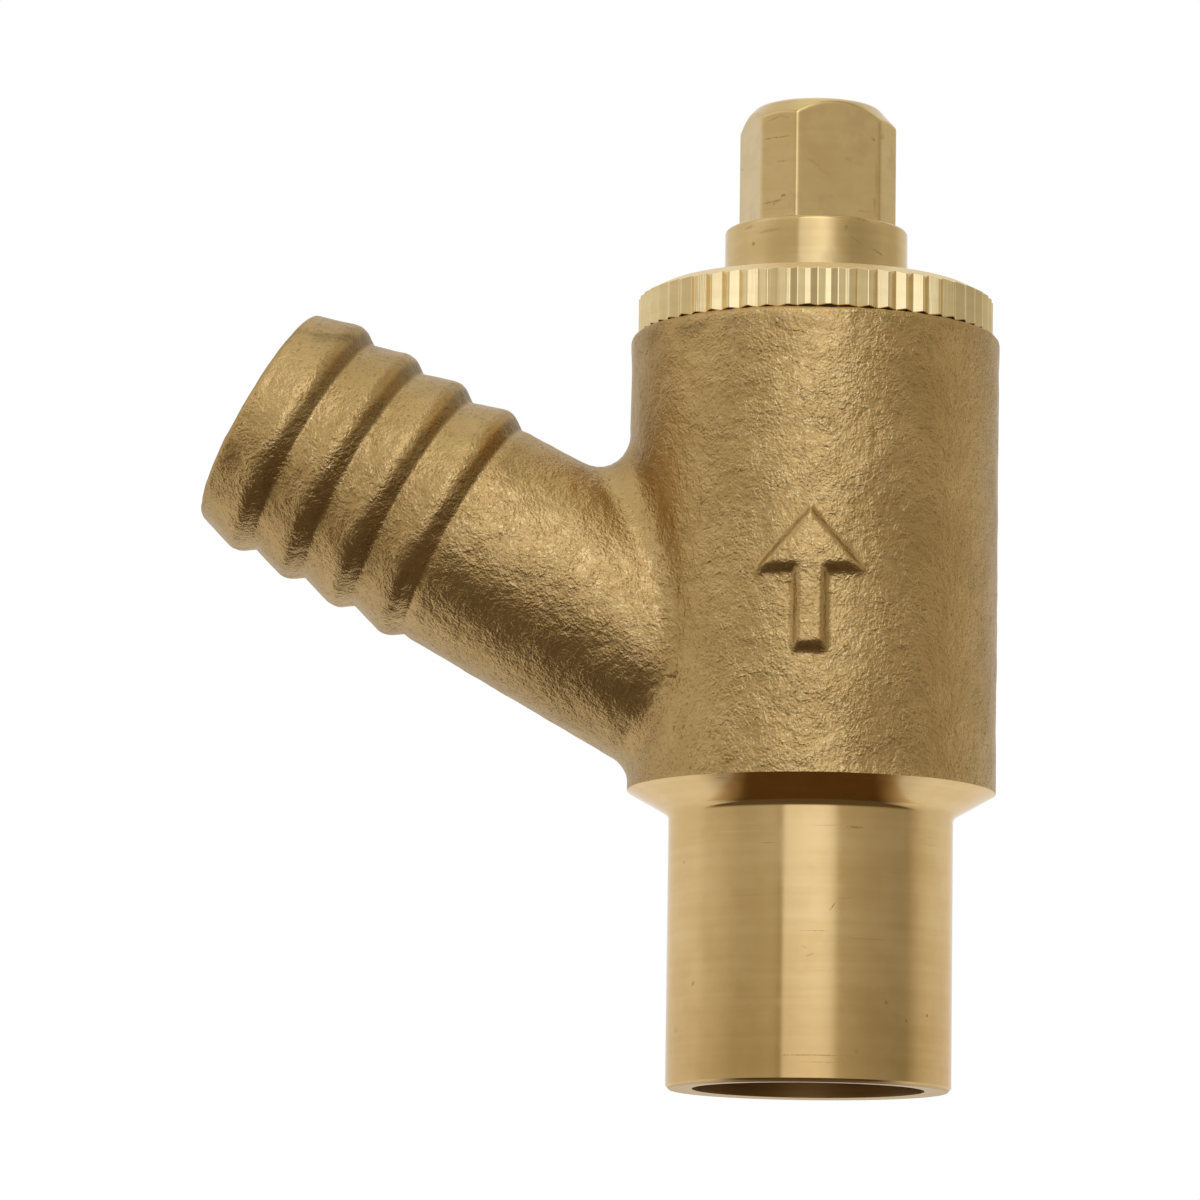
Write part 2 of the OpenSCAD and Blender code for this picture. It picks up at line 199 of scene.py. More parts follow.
def readPoints(mesh):
    co = np.empty(len(mesh.vertices) * 3, np.float32)
    mesh.vertices.foreach_get("co", co)
    return co.reshape(-1, 3).astype(float) / mm


def readNormals(mesh):
    normals = np.empty(len(mesh.vertices) * 3, np.float32)
    mesh.vertex_normals.foreach_get("vector", normals)
    return normals.reshape(-1, 3).astype(float)


def writePoints(mesh, points):
    mesh.vertices.foreach_set("co", (points * mm).astype(np.float32).ravel())
    mesh.update()


def writeMask(mesh, name, values):
    attribute = mesh.attributes.new(name, "FLOAT", "POINT")
    attribute.data.foreach_set("value", values.astype(np.float32))


# Which points belong to a face of the given material slot
def pointsOfSlot(mesh, slot):
    corners = np.empty(len(mesh.loops), np.int32)
    mesh.loops.foreach_get("vertex_index", corners)
    slots = np.empty(len(mesh.polygons), np.int32)
    mesh.polygons.foreach_get("material_index", slots)
    sizes = np.empty(len(mesh.polygons), np.int32)
    mesh.polygons.foreach_get("loop_total", sizes)
    mask = np.zeros(len(mesh.vertices))
    mask[corners[np.repeat(slots == slot, sizes)]] = 1
    return mask


# Cast body: spigot, shoulder and barrel on the upright axis, nozzle on a slanted one
body = dict(
    spigotR=7.5, spigotLen=14.45, spigotChamfer=0.2, spigotBoreR=6.1, endDip=0.05, shoulderRound=0.5, shoulderAngle=30,
    barrelR=9.7, barrelDraft=0.18, rimRound=0.55, rimLift=0.15, rimGap=0.05, threadWall=1.78, chamberStep=0.5,
    nozzleAngle=29.5, nozzleRise=3.25, nozzleLen=34.1, nozzleR=6.325, nozzleDraft=0.5, filletR=1.75,
    noseR=6.15, barbR=6.9, grooveR=6.25, barbCount=4, barbPitch=3.07, barbStart=3.48, barbFall=0.93,
    crestRound=0.9, grooveRound=0.3, barbLead=0.5, noseRound=0.4, noseFace=0.8,
    boreR=4.3, boreFoot=12.4, portR=3.5, drillSlope=30, mouthBevel=0.2,
    seatRise=3.9, seatH=1.7, seatR=5.2, seatBoreR=4, throatH=2.2, lipRound=0.35, seated=0.05, leadIn=0.4,
    threadRunout=1,
    sectorHalf=60, sectorSteps=60, frontSteps=200, barrelRows=96, rootRows=40, barbStep=0.18,
    frontWidth=22, frontGain=1.4, patchRows=12, filletRows=9,
)
footZ = body["spigotLen"] + (body["barrelR"] - body["spigotR"]) * math.tan(math.radians(body["shoulderAngle"]))
crossZ = footZ + body["nozzleRise"]
nozzleTilt = math.radians(body["nozzleAngle"])
outwards = np.array([-math.cos(nozzleTilt), 0, math.sin(nozzleTilt)])
upwards = np.array([math.sin(nozzleTilt), 0, math.cos(nozzleTilt)])
forwards = np.array([0, -1, 0])
rootN = body["nozzleLen"] - body["barbStart"] - (body["barbCount"] - 1) * body["barbPitch"] - body["barbLead"]

# The raised mark on the barrel: a plain flow arrow that stands out of the cast skin
flowArrow = dict(centreZ=25.75, height=7.2, headWidth=5.3, headHeight=3.1, shaftWidth=1.5, rise=0.5, edge=0.27)

# Unevenness of the cast skin: (cell, height) of each layer of noise, and the ground-off parting line; then where the
# painted shade lies in the nozzle's grooves and under the barrel's rim
castSkin = dict(layers=((3.2, 0.026), (1.3, 0.024), (0.6, 0.018)), seamHeight=0.045, seamWidth=0.28,
                grooveShadeShift=0.3, grooveShadeReach=0.4, rimShade=0.8, rimShadeTop=0.5, rimShadeReach=1.3)


def barrelRadius(z):
    return body["barrelR"] + (z - footZ) * math.tan(math.radians(body["barrelDraft"]))


def nozzleRadius(n):
    return body["nozzleR"] + (rootN - n) * math.tan(math.radians(body["nozzleDraft"]))


# Point at angle a round the nozzle, n along it and r off its axis; a is 0 on top and 90 degrees in front
def onNozzle(a, n, r):
    side = np.cos(a)[..., None] * upwards + np.sin(a)[..., None] * forwards
    return np.array([0, 0, crossZ]) + n[..., None] * outwards + r[..., None] * side


# Ball that rolls in the corner between nozzle and barrel: its centre is filletR off both of them.
# Returns how far along the nozzle it touches, and its centre
def rollingBall(a):
    n = np.full_like(a, body["nozzleLen"] / 2)
    for _ in range(5):
        k = nozzleRadius(n) + body["filletR"]
        height = crossZ + n * math.sin(nozzleTilt) + k * np.cos(a) * math.cos(nozzleTilt)
        reach = barrelRadius(height) + body["filletR"]
        n = (np.sqrt(reach ** 2 - (k * np.sin(a)) ** 2) + k * np.cos(a) * math.sin(nozzleTilt)) / math.cos(nozzleTilt)
    return n, onNozzle(a, n, nozzleRadius(n) + body["filletR"])


# Where the fillet leaves the barrel, as (phi, z)
def filletFoot(a):
    centre = rollingBall(a)[1]
    return np.arctan2(centre[..., 0], -centre[..., 1]), centre[..., 2]


# How far along the nozzle its port breaks out of the chamber's wall, and the place there as (phi, z)
def portFoot(a, chamberR):
    y = body["portR"] * np.sin(a)
    deep = np.sqrt(chamberR ** 2 - y ** 2)
    n = (deep + math.sin(nozzleTilt) * np.cos(a) * body["portR"]) / math.cos(nozzleTilt)
    z = crossZ + n * math.sin(nozzleTilt) + body["portR"] * np.cos(a) * math.cos(nozzleTilt)
    return n, np.arctan2(-deep, y), z


# Stops round a rectangle of the wall, from its rear upper corner: along the top, down, along the foot, up
def rectangleLoop(phi, z):
    across, rise = len(phi) - 1, len(z) - 1
    phiLoop = np.concatenate([phi[:-1], np.full(rise, phi[-1]), phi[:0:-1], np.full(rise, phi[0]), phi[:1]])
    zLoop = np.concatenate([np.full(across, z[-1]), z[:0:-1], np.full(across, z[0]), z])
    return phiLoop, zLoop


# Wall with a hole in it: each stop of the rectangle is joined to the stop of the hole that lies in the same
# direction from the hole's middle, by points at even shares between them
def wallRoundHole(phi, z, hole, wallRadius, rows):
    phiLoop, zLoop = rectangleLoop(phi, z)
    fine = np.linspace(-2 * math.pi, 2 * math.pi, 2881)
    holePhi, holeZ = hole(fine)
    middlePhi, middleZ, r = (holePhi.max() + holePhi.min()) / 2, (holeZ.max() + holeZ.min()) / 2, wallRadius(z[0])
    holeWay = np.unwrap(np.arctan2((holePhi - middlePhi) * r, holeZ - middleZ))
    holeWay -= np.round(holeWay[1440] / (2 * math.pi)) * 2 * math.pi
    way = np.unwrap(np.arctan2((phiLoop - middlePhi) * r, zLoop - middleZ))
    a = np.interp(way, holeWay, fine)
    holePhi, holeZ = hole(a)
    share = np.linspace(0, 1, rows + 1)[:, None]
    gridPhi = holePhi + (phiLoop - holePhi) * share
    gridZ = holeZ + (zLoop - holeZ) * share
    radius = wallRadius(gridZ)
    grid = np.stack([radius * np.sin(gridPhi), -radius * np.cos(gridPhi), gridZ], axis=-1)
    return a, grid


# The same angles spread evenly round the nozzle, as close to the uneven ones as they can be
def evenAngles(a):
    turn = np.linspace(0, 2 * math.pi, len(a))
    return turn + np.mean(a[:-1] - turn[:-1])


def buildBody():
    b = body
    cast, turned, bored = 0, 1, 2
    work = newWork()
    sector = np.radians(np.linspace(-90 - b["sectorHalf"], -90 + b["sectorHalf"], b["sectorSteps"] + 1))
    front = np.radians(crowdedSteps(-90 + b["sectorHalf"], 270 - b["sectorHalf"], b["frontSteps"],
                                    0, b["frontWidth"], b["frontGain"]))
    phi = np.concatenate([sector, front[1:]])
    threadR = barrelTopR - b["threadWall"]
    chamberR = threadR - b["chamberStep"]
    floorZ = footZ + b["seatRise"] - b["seatH"]
    seatZ = footZ + b["seatRise"]
    chamberTopZ = skirtZ - b["threadRunout"]
    arrowShare = flowArrow["height"] / 2 + 0.9

    # Spigot and shoulder, turned; the barrel's rim
    spigot = roundCorners([(b["spigotR"] - b["spigotChamfer"], 0, 0), (b["spigotR"], b["spigotChamfer"], 0),
                           (b["spigotR"], b["spigotLen"], b["shoulderRound"]), (b["barrelR"], footZ, 0)])
    addGrid(work, turnedGrid(splitLong(spigot, 1.2), phi), turned)
    lipR = washerR + b["rimGap"]
    rim = roundCorners([(barrelRadius(rimZ - b["rimRound"]), rimZ - b["rimRound"], 0),
                        (barrelTopR, rimZ + b["rimLift"], b["rimRound"]),
                        (lipR + b["rimGap"], rimZ + b["rimLift"], 0), (lipR, rimZ, 0)])
    z = crowdedSteps(footZ, rim[0, 1], b["barrelRows"], flowArrow["centreZ"], arrowShare, 0.9)
    rim[0, 0] = barrelRadius(rim[0, 1])
    addGrid(work, turnedGrid(splitLong(rim, 0.25), phi), cast)
    addGrid(work, turnedGrid(np.stack([barrelRadius(z), z], axis=-1), front), cast)

    # Barrel round the nozzle's root, the rolling-ball fillet and the root itself
    a, grid = wallRoundHole(sector, z, filletFoot, barrelRadius, b["patchRows"])
    addGrid(work, grid, cast)
    even = evenAngles(a)
    touch, centre = rollingBall(a)
    toNozzle = -(np.cos(a)[:, None] * upwards + np.sin(a)[:, None] * forwards)
    toBarrel = -unit(centre * [1, 1, 0])
    turn = np.arccos(np.sum(toNozzle * toBarrel, axis=-1))
    t = turn * np.linspace(0, 1, b["filletRows"] + 1)[:, None]
    ray = (toBarrel * np.sin(turn - t)[..., None] + toNozzle * np.sin(t)[..., None]) / np.sin(turn)[:, None]
    addGrid(work, centre + ray * b["filletR"], cast)
    share = np.linspace(0, 1, b["rootRows"] + 1)[:, None]
    n = touch + (rootN - touch) * share
    addGrid(work, onNozzle(a + (even - a) * easeStep(share), n, nozzleRadius(n)), cast)

    # Barbs from the root to the nose: a long ramp up to each crest, and a short fall behind it
    ends = b["nozzleLen"] - b["barbStart"] - np.arange(b["barbCount"] - 1, -1, -1) * b["barbPitch"]
    stops = [(nozzleRadius(rootN), rootN, 0)]
    for end in ends:
        stops += [(b["grooveR"], end, b["grooveRound"]), (b["barbR"], end + b["barbFall"], b["crestRound"])]
    stops += [(b["noseR"], b["nozzleLen"], b["noseRound"]), (b["noseR"] - b["noseFace"], b["nozzleLen"], 0)]
    barbs = splitLong(roundCorners(stops), b["barbStep"])
    r, n = barbs[:, :1], barbs[:, 1:]
    addGrid(work, onNozzle(even + 0 * n, n + 0 * even, r + 0 * even), cast)

    # Bores: the fine ring of each end is zipped to half as many stops inside
    mouth = onNozzle(even, np.full_like(even, b["nozzleLen"]), np.full_like(even, b["noseR"] - b["noseFace"]))
    innerPhi, innerSector, innerFront = phi[::2], sector[::2], front[::2]
    wall = np.linspace(floorZ, chamberTopZ, b["barrelRows"] // 2 + 1)
    innerA, grid = wallRoundHole(innerSector, wall, lambda t: portFoot(t, chamberR)[1:],
                                 lambda h: 0 * h + chamberR, 6)
    addGrid(work, grid, bored)
    addGrid(work, turnedGrid(np.stack([0 * wall + chamberR, wall], axis=-1), innerFront), bored)
    innerEven = even[::2]
    start = portFoot(innerA, chamberR)[0]
    portEnd = b["boreFoot"] - (b["boreR"] - b["portR"]) * math.tan(math.radians(b["drillSlope"]))
    share = np.linspace(0, 1, 7)[:, None]
    n = start + (portEnd - start) * share
    addGrid(work, onNozzle(innerA + (innerEven - innerA) * share, n, 0 * n + b["portR"]), bored)
    bore = splitLong(np.array([(b["portR"], portEnd), (b["boreR"], b["boreFoot"]),
                               (b["boreR"], b["nozzleLen"] - b["mouthBevel"]),
                               (b["boreR"] + b["mouthBevel"], b["nozzleLen"])]), 3)
    r, n = bore[:, :1], bore[:, 1:]
    grid = onNozzle(innerEven + 0 * n, n + 0 * innerEven, r + 0 * innerEven)
    addGrid(work, grid, bored)
    addZip(work, mouth, grid[-1], cast)

    # Water way up through the spigot and the seat, and the bonnet's thread above the chamber
    lower = roundCorners([(b["spigotBoreR"], b["endDip"], 0), (b["spigotBoreR"], b["spigotLen"] - b["throatH"], 0),
                          (b["seatBoreR"], b["spigotLen"] - b["throatH"] + b["spigotBoreR"] - b["seatBoreR"], 0),
                          (b["seatBoreR"], seatZ, b["lipRound"]), (b["seatR"], seatZ, b["lipRound"]),
                          (b["seatR"], floorZ, 0), (chamberR, floorZ, 0)])
    lower = turnedGrid(splitLong(lower, 2.5), innerPhi)
    addGrid(work, lower, bored)
    addZip(work, turnedGrid(np.array([[b["spigotR"] - b["spigotChamfer"], 0.0]]), phi)[0], lower[0], turned)
    upper = np.array([(chamberR, chamberTopZ), (threadR + b["seated"], chamberTopZ),
                      (threadR + b["seated"], rimZ - b["leadIn"]), (threadR + b["seated"] + b["leadIn"], rimZ)])
    upper = turnedGrid(upper, innerPhi)
    addGrid(work, upper, bored)
    addZip(work, turnedGrid(rim[-1:], phi)[0], upper[-1], turned)

    piece = makePiece("cast_body", work, 38)
    roughenBody(piece.data, cast)
    return piece


# Distance in millimetres from the outline of a polygon, negative inside it
def polygonDistance(x, y, corners):
    nearest = np.full_like(x, 1e9)
    inside = np.zeros(len(x), bool)
    for (ax, ay), (bx, by) in zip(corners, corners[1:] + corners[:1]):
        ex, ey = bx - ax, by - ay
        t = np.clip(((x - ax) * ex + (y - ay) * ey) / (ex * ex + ey * ey), 0, 1)
        nearest = np.minimum(nearest, np.hypot(x - ax - t * ex, y - ay - t * ey))
        if ey != 0:
            crossing = (ay > y) != (by > y)
            inside ^= crossing & (x < ax + (y - ay) / ey * ex)
    return np.where(inside, -nearest, nearest)


# Height of the arrow: full inside its outline and eased down over its edge
def arrowHeight(points):
    arrow = flowArrow
    across = np.arctan2(points[:, 0], -points[:, 1]) * body["barrelR"]
    up = points[:, 2] - arrow["centreZ"]
    top, low = arrow["height"] / 2, -arrow["height"] / 2
    neck, wide, shaft = top - arrow["headHeight"], arrow["headWidth"] / 2, arrow["shaftWidth"] / 2
    corners = [(0, top), (wide, neck), (shaft, neck), (shaft, low), (-shaft, low), (-shaft, neck), (-wide, neck)]
    away = polygonDistance(across, up, corners)
    front = easeStep((-points[:, 1] - body["barrelR"] / 2) / 2)
    return arrow["rise"] * easeStep(0.5 - away / (2 * arrow["edge"])) * front


# Moves the cast points along their normals by layers of noise, the parting line and the arrow, and stores the mask of
# painted shade in the grooves and under the rim
def roughenBody(mesh, cast):
    points, normals = readPoints(mesh), readNormals(mesh)
    mask = pointsOfSlot(mesh, cast)
    height = np.zeros(len(points))
    for seed, (cell, size) in enumerate(castSkin["layers"]):
        height += size * latticeNoise(points + 50, cell, seed + 3)
    seam = np.exp(-(points[:, 1] / castSkin["seamWidth"]) ** 2)
    height += castSkin["seamHeight"] * seam * (0.55 + 0.45 * latticeNoise(points + 50, 1.9, 11))
    height += arrowHeight(points)
    writePoints(mesh, points + normals * (height * mask)[:, None])
    # Painted shade: the grooves under the barbs and the barrel under the bonnet's rim are marked here, to be darkened
    # in the colour
    writeMask(mesh, "paintedShadeAndNicks", mask * np.maximum(paintedGrooveShade(points), paintedRimShade(points)))


# Painted shade in the grooves under the barbs' falls, on top of the nozzle and down to its front and back: 0 from
# grooveShadeReach off a line grooveShadeShift above the groove, 1 within half of that
def paintedGrooveShade(points):
    away = points - [0, 0, crossZ]
    n = away @ outwards
    off = away - n[:, None] * outwards
    ends = body["nozzleLen"] - body["barbStart"] - np.arange(body["barbCount"]) * body["barbPitch"]
    gap = np.abs(n[:, None] - ends - castSkin["grooveShadeShift"]).min(axis=1)
    inside = np.clip(2 - 2 * gap / castSkin["grooveShadeReach"], 0, 1)
    rise = off @ upwards / np.linalg.norm(off, axis=1)
    return inside * np.clip(rise * 1.6 + 0.4, 0, 1)


# Painted shade in patches under the barrel's rim: noise, full from rimShadeTop below the rim and 0 at rimShadeReach,
# and fading from the left of the barrel to its right
def paintedRimShade(points):
    drop = rimZ - points[:, 2]
    start, end = castSkin["rimShadeTop"], castSkin["rimShadeReach"]
    band = easeStep(drop / start * 2 - 1) * easeStep((end - drop) / (end - start))
    onBarrel = np.hypot(points[:, 0], points[:, 1]) > body["barrelR"] - 0.4
    left = np.clip(0.5 - points[:, 0] / body["barrelR"], 0, 1)
    patches = np.clip(latticeNoise(points + 50, 1.1, 17) * 1.6 + 0.5, 0, 1)
    return castSkin["rimShade"] * band * onBarrel * left * patches


# Bonnet: a knurled rim with a bevel above it, and a threaded skirt inside the barrel
bonnet = dict(
    knurlStep=0.33, knurlCount=56, knurlDepth=0.26, wallSlope=29, slopeSpread=1.3, land=0.08, grooveFlat=0.06,
    landRound=0.02, frontMiddle=1.55, frontPitch=6.55, frontReach=7, shyReach=1, shyOpen=0.76,
    topLift=0.18, bevelH=0.5, bevelW=1.0, footRise=0.06, edgeRound=0.035, lipDrop=0.12, lipR=9.11, glandR=4.905,
    mouthBevel=0.2, innerThreadLen=3.8, holeR=4.65, edgeBevel=0.3, threadBevel=0.4,
)


# Middles of the knurl's grooves in radians: those in front lie frontPitch apart, the others share what is left
def grooveMiddles():
    k = bonnet
    front = k["frontMiddle"] + k["frontPitch"] * np.arange(-k["frontReach"], k["frontReach"] + 1)
    spare = k["knurlCount"] - len(front)
    rest = front[-1] + (front[0] + 360 - front[-1]) * np.arange(1, spare + 1) / (spare + 1)
    return np.radians(np.concatenate([front, rest]))


# Stops round the rim as (angle, cut): each groove is a V at wallSlope with a narrow flat bottom, so that
# cut = (half of its opening - distance from its middle) * tan(slope). The few in front are narrower
def knurlStops():
    k = bonnet
    knurlR = barrelTopR - k["knurlStep"]
    middles = grooveMiddles()
    room = np.diff(np.append(middles, middles[0] + 2 * math.pi)) * knurlR
    half = (np.minimum(room, np.roll(room, 1)) - k["land"]) / 2
    half[k["frontReach"] - k["shyReach"]:k["frontReach"] + k["shyReach"] + 1] = k["shyOpen"] / 2
    vary = np.random.default_rng(5).uniform(-1, 1, k["knurlCount"])
    slope = np.tan(np.radians(k["wallSlope"] + k["slopeSpread"] * vary))
    flat, edge = 0 * half + k["grooveFlat"] / 2, k["landRound"]
    away = np.stack([half + edge, half - edge, (half + flat) / 2, flat], axis=1)
    cut = (half[:, None] - away) * slope[:, None]
    cut[:, 0] = 0
    angle = middles[:, None] + np.concatenate([-away, away[:, ::-1]], axis=1) / knurlR
    cut = np.concatenate([cut, cut[:, ::-1]], axis=1)
    return np.append(angle, angle[0, 0] + 2 * math.pi), np.append(cut, cut[0, 0])


def buildBonnet():
    k = bonnet
    work = newWork()
    turned, bored, bevel = 0, 1, 2
    phi, cut = knurlStops()
    knurlR = barrelTopR - k["knurlStep"]
    topZ = bonnetTopZ + k["topLift"]
    r = knurlR - cut
    crossing = topZ - k["bevelH"] + cut * k["bevelH"] / k["bevelW"]
    edge = k["edgeRound"]
    burr = 0.02 * latticeNoise(np.stack([phi * knurlR, 0 * phi, 0 * phi], axis=-1) + 90, 0.45, 8)
    burr[-1] = burr[0]
    foot = knurlZ - k["lipDrop"] + k["footRise"] * (1 - cut / k["knurlDepth"]) + burr
    rows = [(k["lipR"] + 0 * phi, knurlZ + 0 * phi), (np.maximum(r - edge, k["lipR"]), foot),
            (r, foot + edge), (r, (knurlZ * 2 + crossing) / 3),
            (r, (knurlZ + crossing * 2) / 3), (r, crossing - edge / 2), (r - edge, crossing + edge / 3)]
    inward = np.array([0.45, 0.62, 0.8, 1.0])[:, None] * k["bevelW"]
    rows += [(knurlR - w + 0 * phi, topZ - (k["bevelW"] - w) * k["bevelH"] / k["bevelW"] + 0 * phi) for w in inward]
    side = np.stack([np.stack([a * np.sin(phi), -a * np.cos(phi), b], axis=-1) for a, b in rows])
    addGrid(work, side[:7], turned)
    addGrid(work, side[6:], bevel)
    threadR = barrelTopR - body["threadWall"]
    innerZ = skirtZ + k["innerThreadLen"]
    top = np.array([(knurlR - k["bevelW"], topZ), (k["glandR"] + k["mouthBevel"], topZ),
                    (k["glandR"], topZ - k["mouthBevel"]), (k["glandR"], innerZ), (k["holeR"], innerZ),
                    (k["holeR"], skirtZ + k["edgeBevel"]), (k["holeR"] + k["edgeBevel"], skirtZ),
                    (threadR - k["threadBevel"], skirtZ), (threadR, skirtZ + k["threadBevel"]), (threadR, knurlZ)])
    coarse = turnedGrid(top, phi[::2])
    fineTop = turnedGrid(top[:1], phi)[0]
    addZip(work, fineTop, coarse[1], bevel)
    addGrid(work, coarse[1:], bored)
    addZip(work, side[0], coarse[-1], bored)
    return makePiece("knurled_bonnet", work, 11)


# Spindle: a turned collar, a round neck and a square head with cut corners and a turned end
spindle = dict(
    collarR=4.875, collarH=3.5, collarRound=0.4, collarTopR=4.42,
    sides=(3.47, 4.21, 3.77, 4.15, 3.9, 4.15, 3.69, 4.0), footFlare=0.03,
    headSlope=48, headTopR=3.25, headRound=0.7, headTurn=17.6, softness=110, threadR=4.6, shankZ=0.06,
    edgeBevel=0.3, noseStep=0.5, threadSpare=0.5, lift=3, landH=0.9, ringGroove=1.408, grooveW=1.84,
    holeR=2.28, holeLen=8.05, drillSlope=30,
)


# Distance from the axis to the head's side at angle phi: of four flats and four cut corners the nearest counts,
# blended by 1 / (sum of (cos / distance)^softness)^(1 / softness) so that the edges are slightly round
def headRadius(phi):
    s = spindle
    total = np.zeros_like(phi)
    for k, distance in enumerate(s["sides"]):
        facing = math.radians(s["headTurn"] + 45 * k)
        total += np.clip(np.cos(phi - facing) / distance, 1e-6, None) ** s["softness"]
    return total ** (-1 / s["softness"])


def buildSpindle():
    s = spindle
    work = newWork()
    turned, hidden = 0, 1
    collarZ = bonnetTopZ + s["collarH"]
    innerZ = skirtZ + bonnet["innerThreadLen"]
    ringZ = innerZ + s["landH"]
    threadZ = skirtZ - s["lift"] - s["threadSpare"]
    shankZ = innerZ + s["shankZ"]

    # Columns crowd at the head's eight upright edges, each as far round as atan((next * sqrt 2 - side) / side)
    side, following = np.array(s["sides"]), np.roll(s["sides"], -1)
    centres = np.arange(8) * math.pi / 4 + np.arctan((following * math.sqrt(2) - side) / side)
    t = np.linspace(0, 2 * math.pi, 8001)
    gap = np.min(np.abs((t[:, None] - centres + math.pi) % (2 * math.pi) - math.pi), axis=1)
    density = 1 + 7 * np.exp(-(gap / 0.035) ** 2)
    total = np.concatenate([[0], np.cumsum((density[1:] + density[:-1]) / 2)])
    phi = np.interp(np.linspace(0, total[-1], 321), total, t) + math.radians(s["headTurn"])

    plan = headRadius(phi)
    coneR = s["headTopR"] + 1.5
    cone = roundCorners([(coneR, headTopZ - (coneR - s["headTopR"]) * math.tan(math.radians(s["headSlope"])), 0),
                         (s["headTopR"], headTopZ, s["headRound"]), (0, headTopZ, 0)], steps=10)
    cone = splitLong(cone, 0.07)
    cone = np.concatenate([cone[cone[:, 0] > 2.2], [(1.5, headTopZ), (0.7, headTopZ), (0, headTopZ)]])
    soft = s["softness"]
    flare = s["footFlare"]
    headRows = [(plan + flare, collarZ), (plan + flare * 0.4, collarZ + 0.08), (plan + flare * 0.1, collarZ + 0.18)]
    sideZ = np.linspace(collarZ + 0.35, cone[0, 1] - 0.2, 11)
    headRows += [(plan, z) for z in sideZ]
    headRows += [(np.where(r > 1, (plan ** -soft + max(r, 0.5) ** -soft) ** (-1 / soft), r), z) for r, z in cone]
    head = np.stack([np.stack([r * np.sin(phi), -r * np.cos(phi), z + 0 * phi], axis=-1) for r, z in headRows])
    addGrid(work, head, turned)
    collar = splitLong(roundCorners([(s["collarTopR"], collarZ, 0), (s["collarR"], collarZ, s["collarRound"]),
                                     (s["collarR"], bonnetTopZ - 0.5, 0)]), 0.6)
    collar = turnedGrid(collar, phi)
    addGrid(work, np.stack([head[0], collar[0]]), turned)
    addGrid(work, collar, turned)
    lower = np.array([(s["collarR"], bonnetTopZ - 0.5), (s["collarR"], ringZ + s["grooveW"]),
                      (s["collarR"] - s["ringGroove"], ringZ + s["grooveW"]), (s["collarR"] - s["ringGroove"], ringZ),
                      (s["collarR"], ringZ), (s["collarR"], shankZ + s["edgeBevel"]), (s["threadR"], shankZ),
                      (s["threadR"], threadZ + s["noseStep"]), (s["threadR"] - s["noseStep"], threadZ),
                      (s["threadR"] - s["noseStep"], tipZ + s["edgeBevel"]),
                      (s["threadR"] - s["noseStep"] - s["edgeBevel"], tipZ), (s["holeR"], tipZ),
                      (s["holeR"], tipZ + s["holeLen"]),
                      (0, tipZ + s["holeLen"] + s["holeR"] * math.tan(math.radians(s["drillSlope"])))])
    addGrid(work, turnedGrid(lower, phi), hidden)
    piece = makePiece("square_spindle", work, 50)
    points = readPoints(piece.data)
    onFlat = (points[:, 2] > collarZ + 0.02) & (points[:, 2] < headTopZ - 0.2)
    away = np.hypot(points[:, 0], points[:, 1])
    angle = np.arctan2(points[:, 0], -points[:, 1])
    writeMask(piece.data, "flat", onFlat * easeStep(1 - np.abs(away - headRadius(angle)) / 0.03))
    return piece


# Nodes: each call makes one node, sets what it is given and links the sockets among it
def addNode(tree, kind, inputs=None, **settings):
    made = tree.nodes.new(kind)
    for key, value in settings.items():
        setattr(made, key, value)
    for key, value in (inputs or {}).items():
        if isinstance(value, bpy.types.NodeSocket):
            tree.links.new(value, made.inputs[key])
        else:
            made.inputs[key].default_value = value
    return made


def addMath(tree, operation, *values, clamp=False):
    return addNode(tree, "ShaderNodeMath", dict(enumerate(values)), operation=operation, use_clamp=clamp).outputs[0]


def addRamp(tree, factor, stops, interpolation="LINEAR"):
    ramp = addNode(tree, "ShaderNodeValToRGB", {0: factor})
    band = ramp.color_ramp
    band.interpolation = interpolation
    while len(band.elements) < len(stops):
        band.elements.new(0.5)
    for element, (place, colour) in zip(band.elements, sorted(stops)):
        element.position = place
    for element, (place, colour) in zip(band.elements, sorted(stops)):
        element.color = (*colour, 1) if hasattr(colour, "__len__") else (colour, colour, colour, 1)
    return ramp.outputs[0]


def mixColour(tree, factor, a, b, blend="MIX"):
    return addNode(tree, "ShaderNodeMix", {0: factor, 6: a, 7: b}, data_type="RGBA", blend_type=blend).outputs[2]


def mixNumber(tree, factor, a, b):
    return addNode(tree, "ShaderNodeMix", {0: factor, 2: a, 3: b}, data_type="FLOAT").outputs[0]


def stepRange(tree, value, low, high, toLow=0.0, toHigh=1.0):
    return addNode(tree, "ShaderNodeMapRange", {0: value, 1: low, 2: high, 3: toLow, 4: toHigh},
                   interpolation_type="SMOOTHSTEP").outputs[0]


def startGroup(name, inputs, outputs):
    group = bpy.data.node_groups.new(name, "ShaderNodeTree")
    for label, kind in inputs:
        group.interface.new_socket(name=label, in_out="INPUT", socket_type=kind)
    for label, kind in outputs:
        group.interface.new_socket(name=label, in_out="OUTPUT", socket_type=kind)
    return group, group.nodes.new("NodeGroupInput").outputs, group.nodes.new("NodeGroupOutput").inputs
